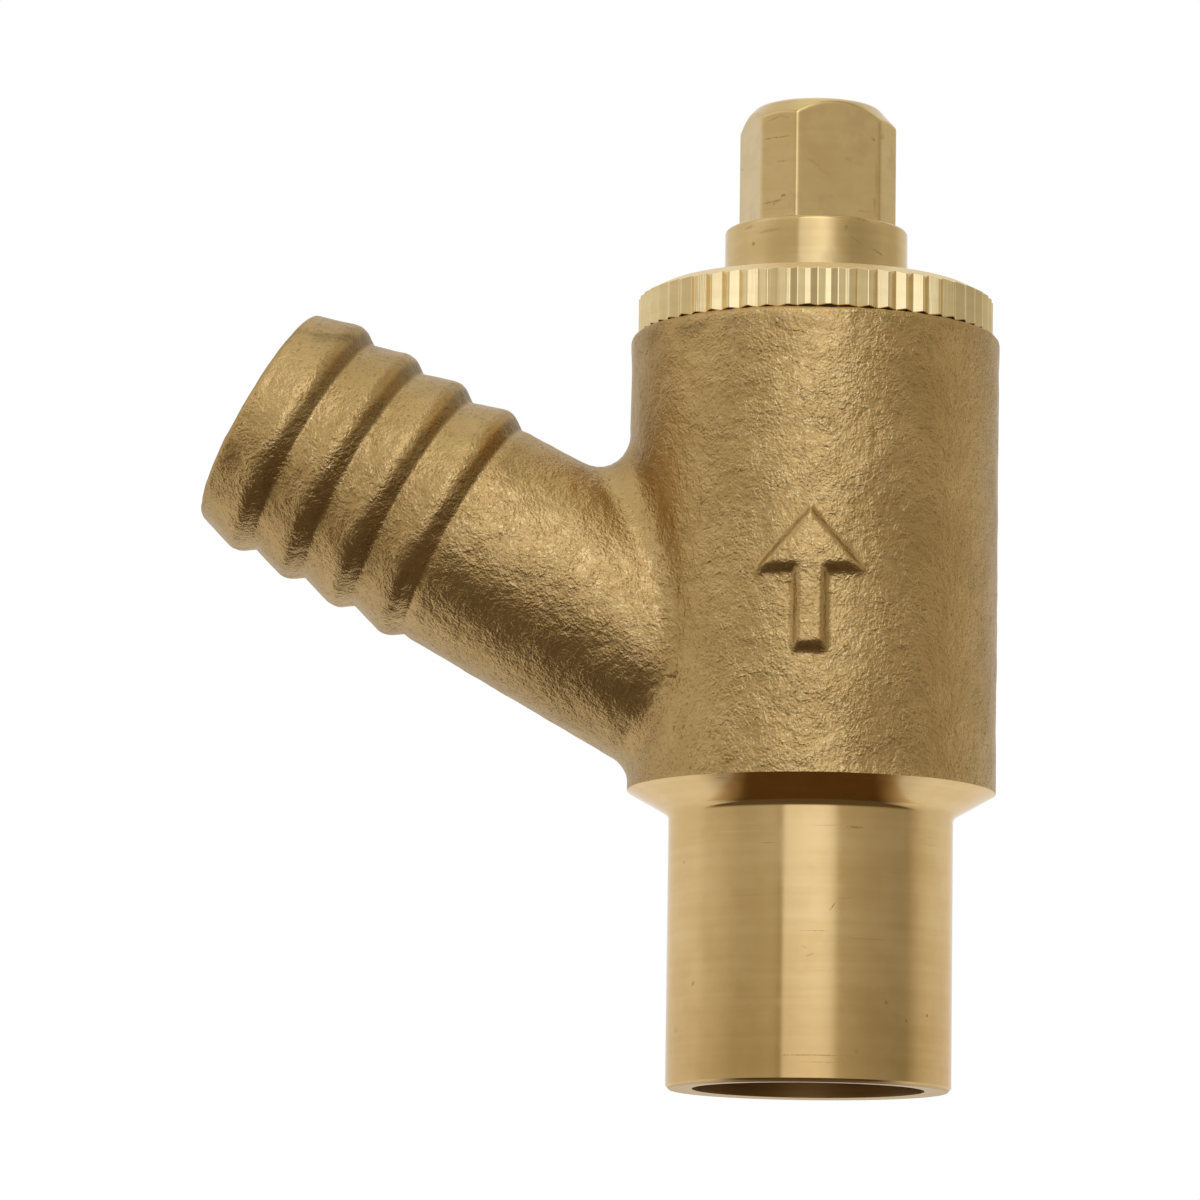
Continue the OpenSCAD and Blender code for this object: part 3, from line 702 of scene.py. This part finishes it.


# Blasted cast skin: fine grain over dents of two sizes, patches where it is flatter, the low spots between the grains,
# grains that were hit flat and glint, whose mask carries a painted highlight, and slow changes of tone.
# Height = (0.8 * fine + 0.9 * dents) * (0.6 + 0.8 * patch) + 1.3 * coarse
def makeGrainGroup():
    group, given, wanted = startGroup("castGrain", [("Vector", "NodeSocketVector"), ("Grain", "NodeSocketFloat")],
                                      [("Height", "NodeSocketFloat"), ("Low", "NodeSocketFloat"),
                                       ("Glint", "NodeSocketFloat"), ("Tone", "NodeSocketFloat")])
    scale = addMath(group, "DIVIDE", 1.0, given["Grain"])
    layers = []
    for share, detail, warp in ((1.0, 2.0, 0.0), (0.5, 1.0, 0.6), (0.24, 2.0, 0.5), (0.085, 2.0, 0.0),
                                (0.035, 4.0, 0.0), (0.62, 1.0, 1.6)):
        layers.append(addNode(group, "ShaderNodeTexNoise", {"Vector": given["Vector"], "Detail": detail,
                                                            "Scale": addMath(group, "MULTIPLY", scale, share),
                                                            "Roughness": 0.6, "Distortion": warp}).outputs[0])
    fine, dents, coarse, patch, slow, flakes = layers
    grains = addMath(group, "MULTIPLY_ADD", dents, 0.9, addMath(group, "MULTIPLY", fine, 0.8))
    group.links.new(stepRange(group, addMath(group, "MULTIPLY_ADD", coarse, 0.6, grains), 1.07, 0.8), wanted["Low"])
    flakes = addMath(group, "MULTIPLY_ADD", coarse, 0.35, flakes)
    group.links.new(stepRange(group, flakes, 0.74, 0.88), wanted["Glint"])
    grains = addMath(group, "MULTIPLY", grains, stepRange(group, patch, 0.35, 0.65, 0.6, 1.4))
    group.links.new(addMath(group, "MULTIPLY_ADD", coarse, 1.3, grains), wanted["Height"])
    group.links.new(slow, wanted["Tone"])
    return group


# Marks of the turning tool: noise read over the radius and the height, so it runs in rings round the axis
def makeTurningGroup():
    group, given, wanted = startGroup("turningLines", [("Vector", "NodeSocketVector"), ("Pitch", "NodeSocketFloat")],
                                      [("Height", "NodeSocketFloat"), ("Streak", "NodeSocketFloat")])
    parts = addNode(group, "ShaderNodeSeparateXYZ", {0: given["Vector"]}).outputs
    radius = addMath(group, "SQRT", addMath(group, "ADD", addMath(group, "MULTIPLY", parts[0], parts[0]),
                                            addMath(group, "MULTIPLY", parts[1], parts[1])))
    rings = addMath(group, "DIVIDE", radius, given["Pitch"])
    rise = addMath(group, "DIVIDE", parts[2], given["Pitch"])
    drift = addNode(group, "ShaderNodeVectorMath", {0: given["Vector"], 1: (160, 160, 0)}, operation="MULTIPLY")
    place = addNode(group, "ShaderNodeCombineXYZ", {0: rings, 2: rise})
    place = addNode(group, "ShaderNodeVectorMath", {0: place.outputs[0], 1: drift.outputs[0]}, operation="ADD")
    lines = addNode(group, "ShaderNodeTexNoise", {"Vector": place.outputs[0], "Scale": 1.0, "Detail": 4.0,
                                                  "Roughness": 0.7})
    group.links.new(lines.outputs[0], wanted["Height"])
    wide = addNode(group, "ShaderNodeTexNoise", {"Vector": place.outputs[0], "Scale": 0.21, "Detail": 3.0})
    group.links.new(wide.outputs[0], wanted["Streak"])
    return group


# Handling: sparse dark specks, fine scratches in two directions, and soft blotches
def makeDirtGroup():
    group, given, wanted = startGroup("handlingDirt", [("Vector", "NodeSocketVector")],
                                      [("Specks", "NodeSocketFloat"), ("Scratches", "NodeSocketFloat"),
                                       ("Blotches", "NodeSocketFloat")])
    dots = addNode(group, "ShaderNodeTexVoronoi", {"Vector": given["Vector"], "Scale": 520.0, "Randomness": 1.0})
    size = addNode(group, "ShaderNodeTexNoise", {"Vector": given["Vector"], "Scale": 900.0, "Detail": 2.0})
    rare = addNode(group, "ShaderNodeTexNoise", {"Vector": given["Vector"], "Scale": 210.0})
    near = addMath(group, "MULTIPLY_ADD", size.outputs[0], 0.12, dots.outputs["Distance"])
    specks = addMath(group, "MULTIPLY", stepRange(group, near, 0.13, 0.09), stepRange(group, rare.outputs[0], 0.5, 0.6))
    group.links.new(specks, wanted["Specks"])
    total = None
    for turn, stretch in ((0.35, (180, 180, 3600)), (-0.5, (220, 220, 4200))):
        turned = addNode(group, "ShaderNodeMapping", {"Vector": given["Vector"], "Rotation": (turn, turn * 0.6, 0),
                                                      "Scale": stretch})
        hair = addNode(group, "ShaderNodeTexNoise", {"Vector": turned.outputs[0], "Scale": 1.0, "Detail": 1.0})
        line = stepRange(group, hair.outputs[0], 0.69, 0.74)
        total = line if total is None else addMath(group, "MAXIMUM", total, line)
    group.links.new(total, wanted["Scratches"])
    soft = addNode(group, "ShaderNodeTexNoise", {"Vector": given["Vector"], "Scale": 330.0, "Detail": 5.0,
                                                 "Roughness": 0.6})
    group.links.new(soft.outputs[0], wanted["Blotches"])
    return group


# One mark left by handling: an oval with a ragged edge, at an azimuth (degrees) and height (mm) on a piece that
# stands round the Z axis. Mask = 1 inside (along / Long)^2 + (across / Wide)^2 < 1, eased to 0 over its edge
def makeMarkGroup():
    sizes = [(label, "NodeSocketFloat") for label in ("Azimuth", "Height", "Long", "Wide", "Turn", "Strength")]
    group, given, wanted = startGroup("placedMark", [("Vector", "NodeSocketVector")] + sizes,
                                      [("Mask", "NodeSocketFloat")])
    parts = addNode(group, "ShaderNodeSeparateXYZ", {0: given["Vector"]}).outputs
    flat = addNode(group, "ShaderNodeCombineXYZ", {0: parts[0], 1: parts[1]}).outputs[0]
    radius = addNode(group, "ShaderNodeVectorMath", {0: flat}, operation="LENGTH").outputs["Value"]
    angle = addMath(group, "ARCTAN2", parts[0], addMath(group, "MULTIPLY", parts[1], -1.0))
    angle = addMath(group, "SUBTRACT", angle, addMath(group, "RADIANS", given["Azimuth"]))
    across = addMath(group, "MULTIPLY", addMath(group, "MULTIPLY", angle, radius), 1 / mm)
    up = addMath(group, "SUBTRACT", addMath(group, "MULTIPLY", parts[2], 1 / mm), given["Height"])
    turn = addMath(group, "RADIANS", given["Turn"])
    sine, cosine = addMath(group, "SINE", turn), addMath(group, "COSINE", turn)
    along = addMath(group, "ADD", addMath(group, "MULTIPLY", across, cosine), addMath(group, "MULTIPLY", up, sine))
    aside = addMath(group, "SUBTRACT", addMath(group, "MULTIPLY", up, cosine), addMath(group, "MULTIPLY", across, sine))
    along = addMath(group, "DIVIDE", along, given["Long"])
    aside = addMath(group, "DIVIDE", aside, given["Wide"])
    reach = addMath(group, "ADD", addMath(group, "MULTIPLY", along, along), addMath(group, "MULTIPLY", aside, aside))
    ragged = addNode(group, "ShaderNodeTexNoise", {"Vector": given["Vector"], "Scale": 6500.0, "Detail": 3.0})
    reach = addMath(group, "MULTIPLY_ADD", ragged.outputs[0], 2.2, reach)
    mask = addMath(group, "MULTIPLY", stepRange(group, reach, 2.2, 0.9), given["Strength"])
    group.links.new(mask, wanted["Mask"])
    return group


# Marks on the casting, the spigot, then the collar and the head: azimuth, height, half length, half width,
# turn, strength
castMarks = ((-47.5, 21.0, 0.5, 0.09, -8, 1.0), (-45.5, 21.15, 0.16, 0.12, 0, 0.8))
spigotMarks = (
    (19, 13.15, 0.6, 0.07, 2, 0.9), (8, 13.2, 1.2, 0.035, 1, 0.4), (-16.3, 12.3, 0.5, 0.05, 0, 0.5),
    (3.4, 7.75, 1.0, 0.04, 0, 0.6), (10, 9.0, 0.42, 0.05, 52, 0.75), (15, 9.45, 0.4, 0.05, 12, 0.6),
    (-52.5, 5.2, 0.2, 0.13, 30, 0.9), (-66, 2.9, 0.35, 0.2, 0, 0.4), (1, 6.5, 0.3, 0.07, 20, 0.45),
    (-1, 6.9, 0.25, 0.05, -30, 0.35), (3, 1.35, 2.2, 0.04, 0, 0.7), (6, 1.0, 1.5, 0.035, 0, 0.55),
    (24, 7.4, 2.0, 0.025, 0, 0.4), (-24, 9.6, 1.6, 0.025, 1, 0.35), (38, 10.9, 0.7, 0.03, -4, 0.4),
    (130, 9.0, 0.8, 0.06, 40, 0.6), (165, 4.5, 1.3, 0.04, -8, 0.6), (-145, 11.2, 0.9, 0.05, 12, 0.5),
)
headMarks = (
    (-42, 44.5, 0.16, 0.13, 0, 1.0), (-46, 45.45, 0.4, 0.1, 10, 0.6), (-29.5, 45.1, 0.7, 0.12, 5, 0.4),
    (20, 45.2, 0.14, 0.22, 0, 0.6), (29, 45.72, 0.7, 0.06, -4, 0.9), (42, 44.1, 0.6, 0.06, -18, 0.7),
    (26, 44.6, 0.5, 0.05, -30, 0.5), (-31, 50.3, 0.95, 0.06, 1, 0.75), (-33, 46.85, 0.8, 0.09, 6, 0.75),
    (-25.3, 47.12, 0.2, 0.11, 15, 1.0), (-33.5, 46.72, 0.12, 0.12, 0, 0.8), (-26, 49.0, 0.4, 0.07, 4, 0.55),
    (-33, 51.35, 0.5, 0.05, 16, 0.5), (-25, 51.4, 0.4, 0.05, -22, 0.4), (-1.4, 48.9, 0.6, 0.12, -32, 0.3),
    (6, 48.5, 0.5, 0.08, -30, 0.25), (30, 49.2, 0.3, 0.16, -20, 0.45), (33, 50.6, 0.3, 0.25, 0, 0.3),
    (41.7, 46.45, 0.35, 0.07, -8, 0.6), (48.4, 50.4, 0.17, 0.12, -40, 0.8), (51, 48.2, 0.1, 1.3, 0, 0.35),
    (50, 46.8, 0.1, 0.6, 0, 0.5), (56, 50.6, 0.3, 0.2, 30, 0.5), (150, 48.6, 0.9, 0.05, 8, 0.5),
    (-100, 49.5, 0.6, 0.06, -20, 0.5), (-165, 44.3, 0.5, 0.08, 12, 0.6),
)


def placeMarks(tree, group, coords, marks):
    total = None
    for azimuth, height, length, width, turn, strength in marks:
        mask = useGroup(tree, group, Vector=coords, Azimuth=float(azimuth), Height=height, Long=length,
                        Wide=width, Turn=float(turn), Strength=strength)["Mask"]
        total = mask if total is None else addMath(tree, "MAXIMUM", total, mask)
    return total


def startMaterial(name):
    material = bpy.data.materials.new(name)
    material.use_nodes = True
    tree = material.node_tree
    tree.nodes.clear()
    shader = tree.nodes.new("ShaderNodeBsdfPrincipled")
    out = tree.nodes.new("ShaderNodeOutputMaterial")
    tree.links.new(shader.outputs[0], out.inputs[0])
    coords = tree.nodes.new("ShaderNodeTexCoord").outputs["Object"]
    return material, tree, shader, coords


def useGroup(tree, group, **inputs):
    return addNode(tree, "ShaderNodeGroup", inputs, node_tree=group).outputs


def joinBump(tree, shader, height, distance, normal=None):
    bump = addNode(tree, "ShaderNodeBump", {"Height": height, "Distance": distance, "Strength": 1.0})
    if normal is not None:
        tree.links.new(normal, bump.inputs["Normal"])
    tree.links.new(bump.outputs[0], shader.inputs["Normal"])
    return bump.outputs[0]


# The dark brown is the colour of the painted shade in the grooves and under the rim, and also of the nicks; shade
# darkens the colour at a slant, as painted shade; glint is the paler colour of a painted highlight
castLook = dict(light=(0.67, 0.455, 0.195), dark=(0.56, 0.37, 0.15), low=(0.33, 0.20, 0.075), lowShare=0.5,
                glint=(0.95, 0.78, 0.46), glintShare=0.5, paintedShadeAndNicks=(0.15, 0.10, 0.045), shadeAndNickShare=0.6,
                shade=0.73, grain=0.13 * mm, depth=0.045 * mm, roughness=0.32, lowRoughness=0.42,
                glintRoughness=0.2, slantDepth=0.95, edgeTint=(0.96, 0.92, 0.84, 1))
turnedLook = dict(light=(0.82, 0.585, 0.285), dark=(0.75, 0.52, 0.235), stain=(0.36, 0.22, 0.08), pitch=0.12 * mm,
                  depth=0.0011 * mm, roughness=0.095, dull=0.06, foot=(0.87, 0.83, 0.76),
                  paleLight=(1.0, 0.82, 0.475), paleDark=(0.94, 0.74, 0.405),
                  headLight=(0.84, 0.63, 0.315), headDark=(0.77, 0.56, 0.26),
                  end=(0.66, 0.49, 0.27), endRoughness=0.4, edgeTint=(0.91, 0.85, 0.75, 1))


# Grains hide each other where the skin is seen at a slant, so the colour falls off towards the outline: painted shade,
# a darker base colour at a slant
def makeCastBrass(groups, marks):
    look = castLook
    material, tree, shader, coords = startMaterial("castBrass")
    grain = useGroup(tree, groups["grain"], Vector=coords, Grain=look["grain"])
    tone = stepRange(tree, grain["Tone"], 0.3, 0.7)
    colour = mixColour(tree, tone, (*look["dark"], 1), (*look["light"], 1))
    colour = mixColour(tree, addMath(tree, "MULTIPLY", grain["Low"], look["lowShare"]), colour, (*look["low"], 1))
    slant = addNode(tree, "ShaderNodeLayerWeight", {"Blend": 0.5}).outputs["Facing"]
    seen = stepRange(tree, slant, 0.3, 0.06)
    # Painted highlight: sparse grains get a paler colour where the skin faces the view; they are also smoother, which
    # is real
    glint = addMath(tree, "MULTIPLY", addMath(tree, "MULTIPLY", grain["Glint"], look["glintShare"]), seen)
    colour = mixColour(tree, glint, colour, (*look["glint"], 1))
    # Painted shade in the grooves and under the rim, joined with the nicks, which are real marks that also dent the
    # bump
    paintedShadeAndNicks = addNode(tree, "ShaderNodeAttribute", attribute_name="paintedShadeAndNicks").outputs["Fac"]
    nick = placeMarks(tree, groups["mark"], coords, marks)
    paintedShadeAndNicks = addMath(tree, "MAXIMUM", paintedShadeAndNicks, nick)
    colour = mixColour(tree, addMath(tree, "MULTIPLY", paintedShadeAndNicks, look["shadeAndNickShare"]), colour, (*look["paintedShadeAndNicks"], 1))
    # Painted shade: the colour is scaled down towards the outline
    dim = stepRange(tree, slant, 0.25, 0.85, 1.0, look["shade"])
    colour = addNode(tree, "ShaderNodeVectorMath", {0: colour, "Scale": dim}, operation="SCALE").outputs[0]
    tree.links.new(colour, shader.inputs["Base Color"])
    shader.inputs["Metallic"].default_value = 1
    shader.inputs["Specular Tint"].default_value = look["edgeTint"]
    rough = mixNumber(tree, grain["Low"], look["roughness"], look["lowRoughness"])
    tree.links.new(mixNumber(tree, glint, rough, look["glintRoughness"]), shader.inputs["Roughness"])
    height = addMath(tree, "MULTIPLY", grain["Height"], mixNumber(tree, seen, look["slantDepth"], 1.0))
    joinBump(tree, shader, addMath(tree, "MULTIPLY_ADD", nick, -3.0, height), look["depth"])
    return material


# Turned brass with streaks of the tool, dirt and the marks of its piece. The kind says what else it has: the
# spigot darkens towards its foot, the knurl is dull on its lands and the head on its flats
def makeTurnedBrass(groups, name, kind="", marks=()):
    look = turnedLook
    material, tree, shader, coords = startMaterial(name)
    lines = useGroup(tree, groups["turning"], Vector=coords, Pitch=look["pitch"])
    dirt = useGroup(tree, groups["dirt"], Vector=coords)
    tone = addMath(tree, "MULTIPLY_ADD", lines["Streak"], 0.35, addMath(tree, "MULTIPLY", dirt["Blotches"], 0.65))
    light, dark = look["light"], look["dark"]
    if kind in ("knurl", "bevel"):
        light, dark = look["paleLight"], look["paleDark"]
    if kind == "head":
        light, dark = look["headLight"], look["headDark"]
    colour = mixColour(tree, stepRange(tree, tone, 0.38, 0.62), (*dark, 1), (*light, 1))
    rough = mixNumber(tree, stepRange(tree, dirt["Blotches"], 0.4, 0.7), look["roughness"],
                      look["roughness"] + look["dull"])
    height = addMath(tree, "MULTIPLY_ADD", dirt["Scratches"], -1.2, lines["Height"])
    stain = dirt["Specks"]
    if kind == "spigot":
        parts = addNode(tree, "ShaderNodeSeparateXYZ", {0: coords}).outputs
        foot = stepRange(tree, parts[2], 9 * mm, 1 * mm)
        colour = mixColour(tree, foot, colour, mixColour(tree, 1.0, colour, (*look["foot"], 1), "MULTIPLY"))
        # The end face: a darker colour, which is painted shade at the lip, and a rougher finish of a faced end
        end = stepRange(tree, parts[2], 0.14 * mm, 0.07 * mm)
        colour = mixColour(tree, end, colour, (*look["end"], 1))
        rough = mixNumber(tree, end, rough, look["endRoughness"])
        shader.inputs["Specular Tint"].default_value = look["edgeTint"]
    if kind == "knurl":
        upright = addNode(tree, "ShaderNodeVectorMath", {0: coords, 1: (1, 1, 0.03)}, operation="MULTIPLY").outputs[0]
        height = addNode(tree, "ShaderNodeTexNoise", {"Vector": upright, "Scale": 1 / (0.07 * mm), "Detail": 2.0})
        height = addMath(tree, "MULTIPLY", height.outputs[0], 5.0)
    if kind == "bevel":
        rough = addMath(tree, "ADD", rough, 0.34)
    if kind == "head":
        stain = addMath(tree, "MAXIMUM", stain, stepRange(tree, dirt["Blotches"], 0.53, 0.72, 0.0, 0.4))
        flat = addNode(tree, "ShaderNodeAttribute", attribute_name="flat").outputs["Fac"]
        rough = mixNumber(tree, flat, rough, 0.17)
        height = mixNumber(tree, flat, height, addMath(tree, "MULTIPLY", dirt["Scratches"], -1.0))
    if marks:
        placed = placeMarks(tree, groups["mark"], coords, marks)
        stain = addMath(tree, "MAXIMUM", stain, placed)
        height = addMath(tree, "MULTIPLY_ADD", placed, -3.0, height)
    colour = mixColour(tree, addMath(tree, "MULTIPLY", stain, 0.75), colour, (*look["stain"], 1))
    rough = mixNumber(tree, stain, rough, 0.4)
    tree.links.new(colour, shader.inputs["Base Color"])
    tree.links.new(rough, shader.inputs["Roughness"])
    shader.inputs["Metallic"].default_value = 1
    joinBump(tree, shader, height, look["depth"])
    return material


def makeBoredBrass(groups):
    material, tree, shader, coords = startMaterial("boredBrass")
    lines = useGroup(tree, groups["turning"], Vector=coords, Pitch=0.3 * mm)
    # Painted shade: the bores get a darker brass than the outside
    colour = mixColour(tree, lines["Streak"], (0.30, 0.165, 0.055, 1), (0.44, 0.26, 0.10, 1))
    tree.links.new(colour, shader.inputs["Base Color"])
    shader.inputs["Metallic"].default_value = 1
    shader.inputs["Roughness"].default_value = 0.34
    joinBump(tree, shader, lines["Height"], 0.006 * mm)
    return material


def makeSoftStuff(name, light, dark, grain, roughness, depth):
    material, tree, shader, coords = startMaterial(name)
    noise = addNode(tree, "ShaderNodeTexNoise", {"Vector": coords, "Scale": 1 / grain, "Detail": 4.0,
                                                 "Roughness": 0.65})
    tree.links.new(mixColour(tree, noise.outputs[0], (*dark, 1), (*light, 1)), shader.inputs["Base Color"])
    shader.inputs["Roughness"].default_value = roughness
    joinBump(tree, shader, noise.outputs[0], depth)
    return material


# Camera fitted to the photograph: place, heading, rise and roll in the frame, and the focal length in pixels
camera = dict(place=(4.919, -320.17, -21.14), heading=-0.0506, rise=0.1458, roll=0.0149, focal=6100.8, image=1200)


def setCamera():
    c = camera
    data = bpy.data.cameras.new("camera")
    data.sensor_width = 36
    data.lens = c["focal"] / c["image"] * data.sensor_width
    data.clip_start, data.clip_end = 0.01, 10
    eye = bpy.data.objects.new("camera", data)
    ahead = np.array([math.sin(c["heading"]) * math.cos(c["rise"]), math.cos(c["heading"]) * math.cos(c["rise"]),
                      math.sin(c["rise"])])
    level = np.array([math.cos(c["heading"]), -math.sin(c["heading"]), 0])
    high = np.cross(level, ahead)
    right = math.cos(c["roll"]) * level + math.sin(c["roll"]) * high
    up = -math.sin(c["roll"]) * level + math.cos(c["roll"]) * high
    matrix = np.eye(4)
    matrix[:3, 0], matrix[:3, 1], matrix[:3, 2] = right, up, -ahead
    matrix[:3, 3] = np.array(c["place"]) * mm
    eye.matrix_world = Matrix(matrix.tolist())
    bpy.context.scene.collection.objects.link(eye)
    bpy.context.scene.camera = eye


# The studio that the metal mirrors: brightness round the horizon, one list for directions just above it and
# one from 12 degrees up. Azimuth 0 is the camera's side and +90 is +X. Dim parts are warm, bright ones neutral
studio = dict(
    low=((-180, 0.93), (-155, 0.87), (-140, 0.83), (-120, 0.79), (-103, 0.76), (-92, 0.66), (-82, 0.61),
         (-61, 0.485), (-45, 0.485), (-31, 0.52), (-26, 0.50), (-24, 0.42), (-21.6, 0.43), (-19.6, 0.88),
         (-12, 0.91), (-3, 0.98), (8, 1.0), (15, 0.93), (19.5, 0.80), (24.5, 0.51), (40, 0.445), (50, 0.40),
         (75, 0.345), (86, 0.345), (93, 0.47), (101, 0.60), (112, 0.70), (130, 0.77), (145, 0.81), (160, 0.88),
         (180, 0.93)),
    high=((-180, 0.93), (-158, 0.78), (-145, 0.70), (-125, 0.70), (-105, 0.67), (-90, 0.69), (-71, 0.66),
          (-60, 0.59), (-45, 0.54), (-28, 0.54), (-23, 0.54), (-19.5, 0.86), (-10, 0.95), (0, 1.06), (8, 1.14),
          (15, 1.03), (22, 0.78), (28, 0.58), (35, 0.48), (45, 0.38), (60, 0.38), (80, 0.43), (95, 0.50),
          (110, 0.50), (120, 0.52), (130, 0.60), (142, 0.68), (160, 0.74), (180, 0.93)),
    dimTint=(1, 0.93, 0.76), brightTint=(1, 1.01, 1.04), tintFrom=0.42, tintTo=0.9,
    zenith=(0.80, 0.82, 0.76), floorFront=(0.115, 0.085, 0.055), floorRear=(0.085, 0.06, 0.035),
)


def addHorizon(tree, azimuth, stops):
    return addRamp(tree, addMath(tree, "MULTIPLY_ADD", azimuth, 1 / 360, 0.5),
                   [((az + 180) / 360, level) for az, level in stops])


def setWorld():
    world = bpy.data.worlds.new("studio")
    world.use_nodes = True
    tree = world.node_tree
    tree.nodes.clear()
    way = addNode(tree, "ShaderNodeTexCoord").outputs["Generated"]
    parts = addNode(tree, "ShaderNodeSeparateXYZ", {0: way}).outputs
    azimuth = addMath(tree, "ARCTAN2", parts[0], addMath(tree, "MULTIPLY", parts[1], -1.0))
    azimuth = addMath(tree, "DEGREES", azimuth)
    rise = addMath(tree, "DEGREES", addMath(tree, "ARCSINE", parts[2]))
    level = mixNumber(tree, stepRange(tree, rise, 5.5, 11.5), addHorizon(tree, azimuth, studio["low"]),
                      addHorizon(tree, azimuth, studio["high"]))
    lift = stepRange(tree, rise, 10, 35, 1.0, 1.3)
    lamp = stepRange(tree, rise, 14, 36, 1.0, 1.42)
    fall = stepRange(tree, rise, 40, 60, 1.0, 0.72)
    rear = stepRange(tree, addMath(tree, "ABSOLUTE", azimuth), 84, 100)
    band = stepRange(tree, addMath(tree, "ABSOLUTE", azimuth), 27, 20)
    gain = mixNumber(tree, rear, addMath(tree, "MULTIPLY", mixNumber(tree, band, lift, lamp), fall), 1.0)
    level = addMath(tree, "MULTIPLY", level, gain)
    tint = mixColour(tree, stepRange(tree, level, studio["tintFrom"], studio["tintTo"]),
                     (*studio["dimTint"], 1), (*studio["brightTint"], 1))
    around = addNode(tree, "ShaderNodeVectorMath", {0: tint, "Scale": level}, operation="SCALE").outputs[0]
    above = mixColour(tree, stepRange(tree, rise, 58, 78), around, (*studio["zenith"], 1))
    frontLow = mixColour(tree, stepRange(tree, rise, -2, -28), above, (*studio["floorFront"], 1))
    rearLow = mixColour(tree, stepRange(tree, rise, -44, -62), above, (*studio["floorRear"], 1))
    dome = mixColour(tree, rear, frontLow, rearLow)
    path = addNode(tree, "ShaderNodeLightPath").outputs
    seen = addMath(tree, "MAXIMUM", path["Is Camera Ray"], path["Is Transmission Ray"])
    sky = addNode(tree, "ShaderNodeBackground", {0: mixColour(tree, seen, dome, (1, 1, 1, 1)), 1: 1.0})
    addNode(tree, "ShaderNodeOutputWorld", {0: sky.outputs[0]})
    bpy.context.scene.world = world


# Pale floor just below the spigot's end. It shows from above, fades out far away, and is clear from below
def setFloor():
    bpy.ops.mesh.primitive_circle_add(vertices=96, radius=0.9, fill_type="NGON", location=(0, 0, -0.02 * mm))
    floor = bpy.context.object
    floor.name = "floor"
    material, tree, shader, coords = startMaterial("paleFloor")
    shader.inputs["Base Color"].default_value = (0.93, 0.93, 0.93, 1)
    shader.inputs["Roughness"].default_value = 0.9
    shader.inputs["Specular IOR Level"].default_value = 0.0
    clear = addNode(tree, "ShaderNodeBsdfTransparent").outputs[0]
    away = addNode(tree, "ShaderNodeVectorMath", {0: coords}, operation="LENGTH").outputs["Value"]
    under = addNode(tree, "ShaderNodeNewGeometry").outputs["Backfacing"]
    gone = addMath(tree, "MAXIMUM", under, stepRange(tree, away, 0.12, 0.8))
    mixed = addNode(tree, "ShaderNodeMixShader", {0: gone, 1: shader.outputs[0], 2: clear})
    tree.links.new(mixed.outputs[0], tree.nodes["Material Output"].inputs[0])
    floor.data.materials.append(material)
    for way in ("visible_glossy", "visible_diffuse", "visible_shadow", "visible_transmission"):
        setattr(floor, way, False)


def setLamps():
    for name, place, size, power in (("softAbove", (-0.25, -0.25, 0.75), 0.6, 3.0),):
        lamp = bpy.data.lights.new(name, "AREA")
        lamp.size, lamp.energy = size, power
        holder = bpy.data.objects.new(name, lamp)
        holder.location = place
        holder.visible_glossy = False
        bpy.context.scene.collection.objects.link(holder)
        aim = holder.constraints.new("TRACK_TO")
        aim.target = frame["bodies"]["valve_body"]
        aim.track_axis, aim.up_axis = "TRACK_NEGATIVE_Z", "UP_Y"


setCamera()
setWorld()
setFloor()
setLamps()
print("camera, studio and floor are set")

groups = dict(grain=makeGrainGroup(), turning=makeTurningGroup(), dirt=makeDirtGroup(), mark=makeMarkGroup())
castBrass = makeCastBrass(groups, castMarks)
turnedBrass = makeTurnedBrass(groups, "turnedBrass")
spigotBrass = makeTurnedBrass(groups, "spigotBrass", "spigot", spigotMarks)
knurledBrass = makeTurnedBrass(groups, "knurledBrass", "knurl")
bevelBrass = makeTurnedBrass(groups, "bevelBrass", "bevel")
headBrass = makeTurnedBrass(groups, "headBrass", "head", headMarks)
boredBrass = makeBoredBrass(groups)
fibre = makeSoftStuff("fibre", (0.16, 0.09, 0.06), (0.05, 0.03, 0.02), 0.25 * mm, 0.85, 0.02 * mm)
rubber = makeSoftStuff("rubber", (0.035, 0.035, 0.035), (0.018, 0.018, 0.018), 0.4 * mm, 0.6, 0.004 * mm)
print("materials are made")

castBody = buildBody()
for material in (castBrass, spigotBrass, boredBrass):
    castBody.data.materials.append(material)
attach(castBody, "valve_body")
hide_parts("body")

knurledBonnet = buildBonnet()
for material in (knurledBrass, boredBrass, bevelBrass):
    knurledBonnet.data.materials.append(material)
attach(knurledBonnet, "valve_body")
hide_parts("bonnet")

squareSpindle = buildSpindle()
for material in (headBrass, boredBrass):
    squareSpindle.data.materials.append(material)
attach(squareSpindle, "stem")
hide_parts("spindle")

for node, material in (("bonnet_washer", fibre), ("spindle_o_ring", rubber), ("seat_washer", rubber),
                       ("jumper", turnedBrass), ("washer_screw", turnedBrass)):
    slots = frame["nodes"][node].material_slots
    for number in range(len(slots)):
        slots[number].link = "DATA"
        slots[number].material = material
print("pieces are made")

scene = bpy.context.scene
scene.view_settings.view_transform = "Standard"
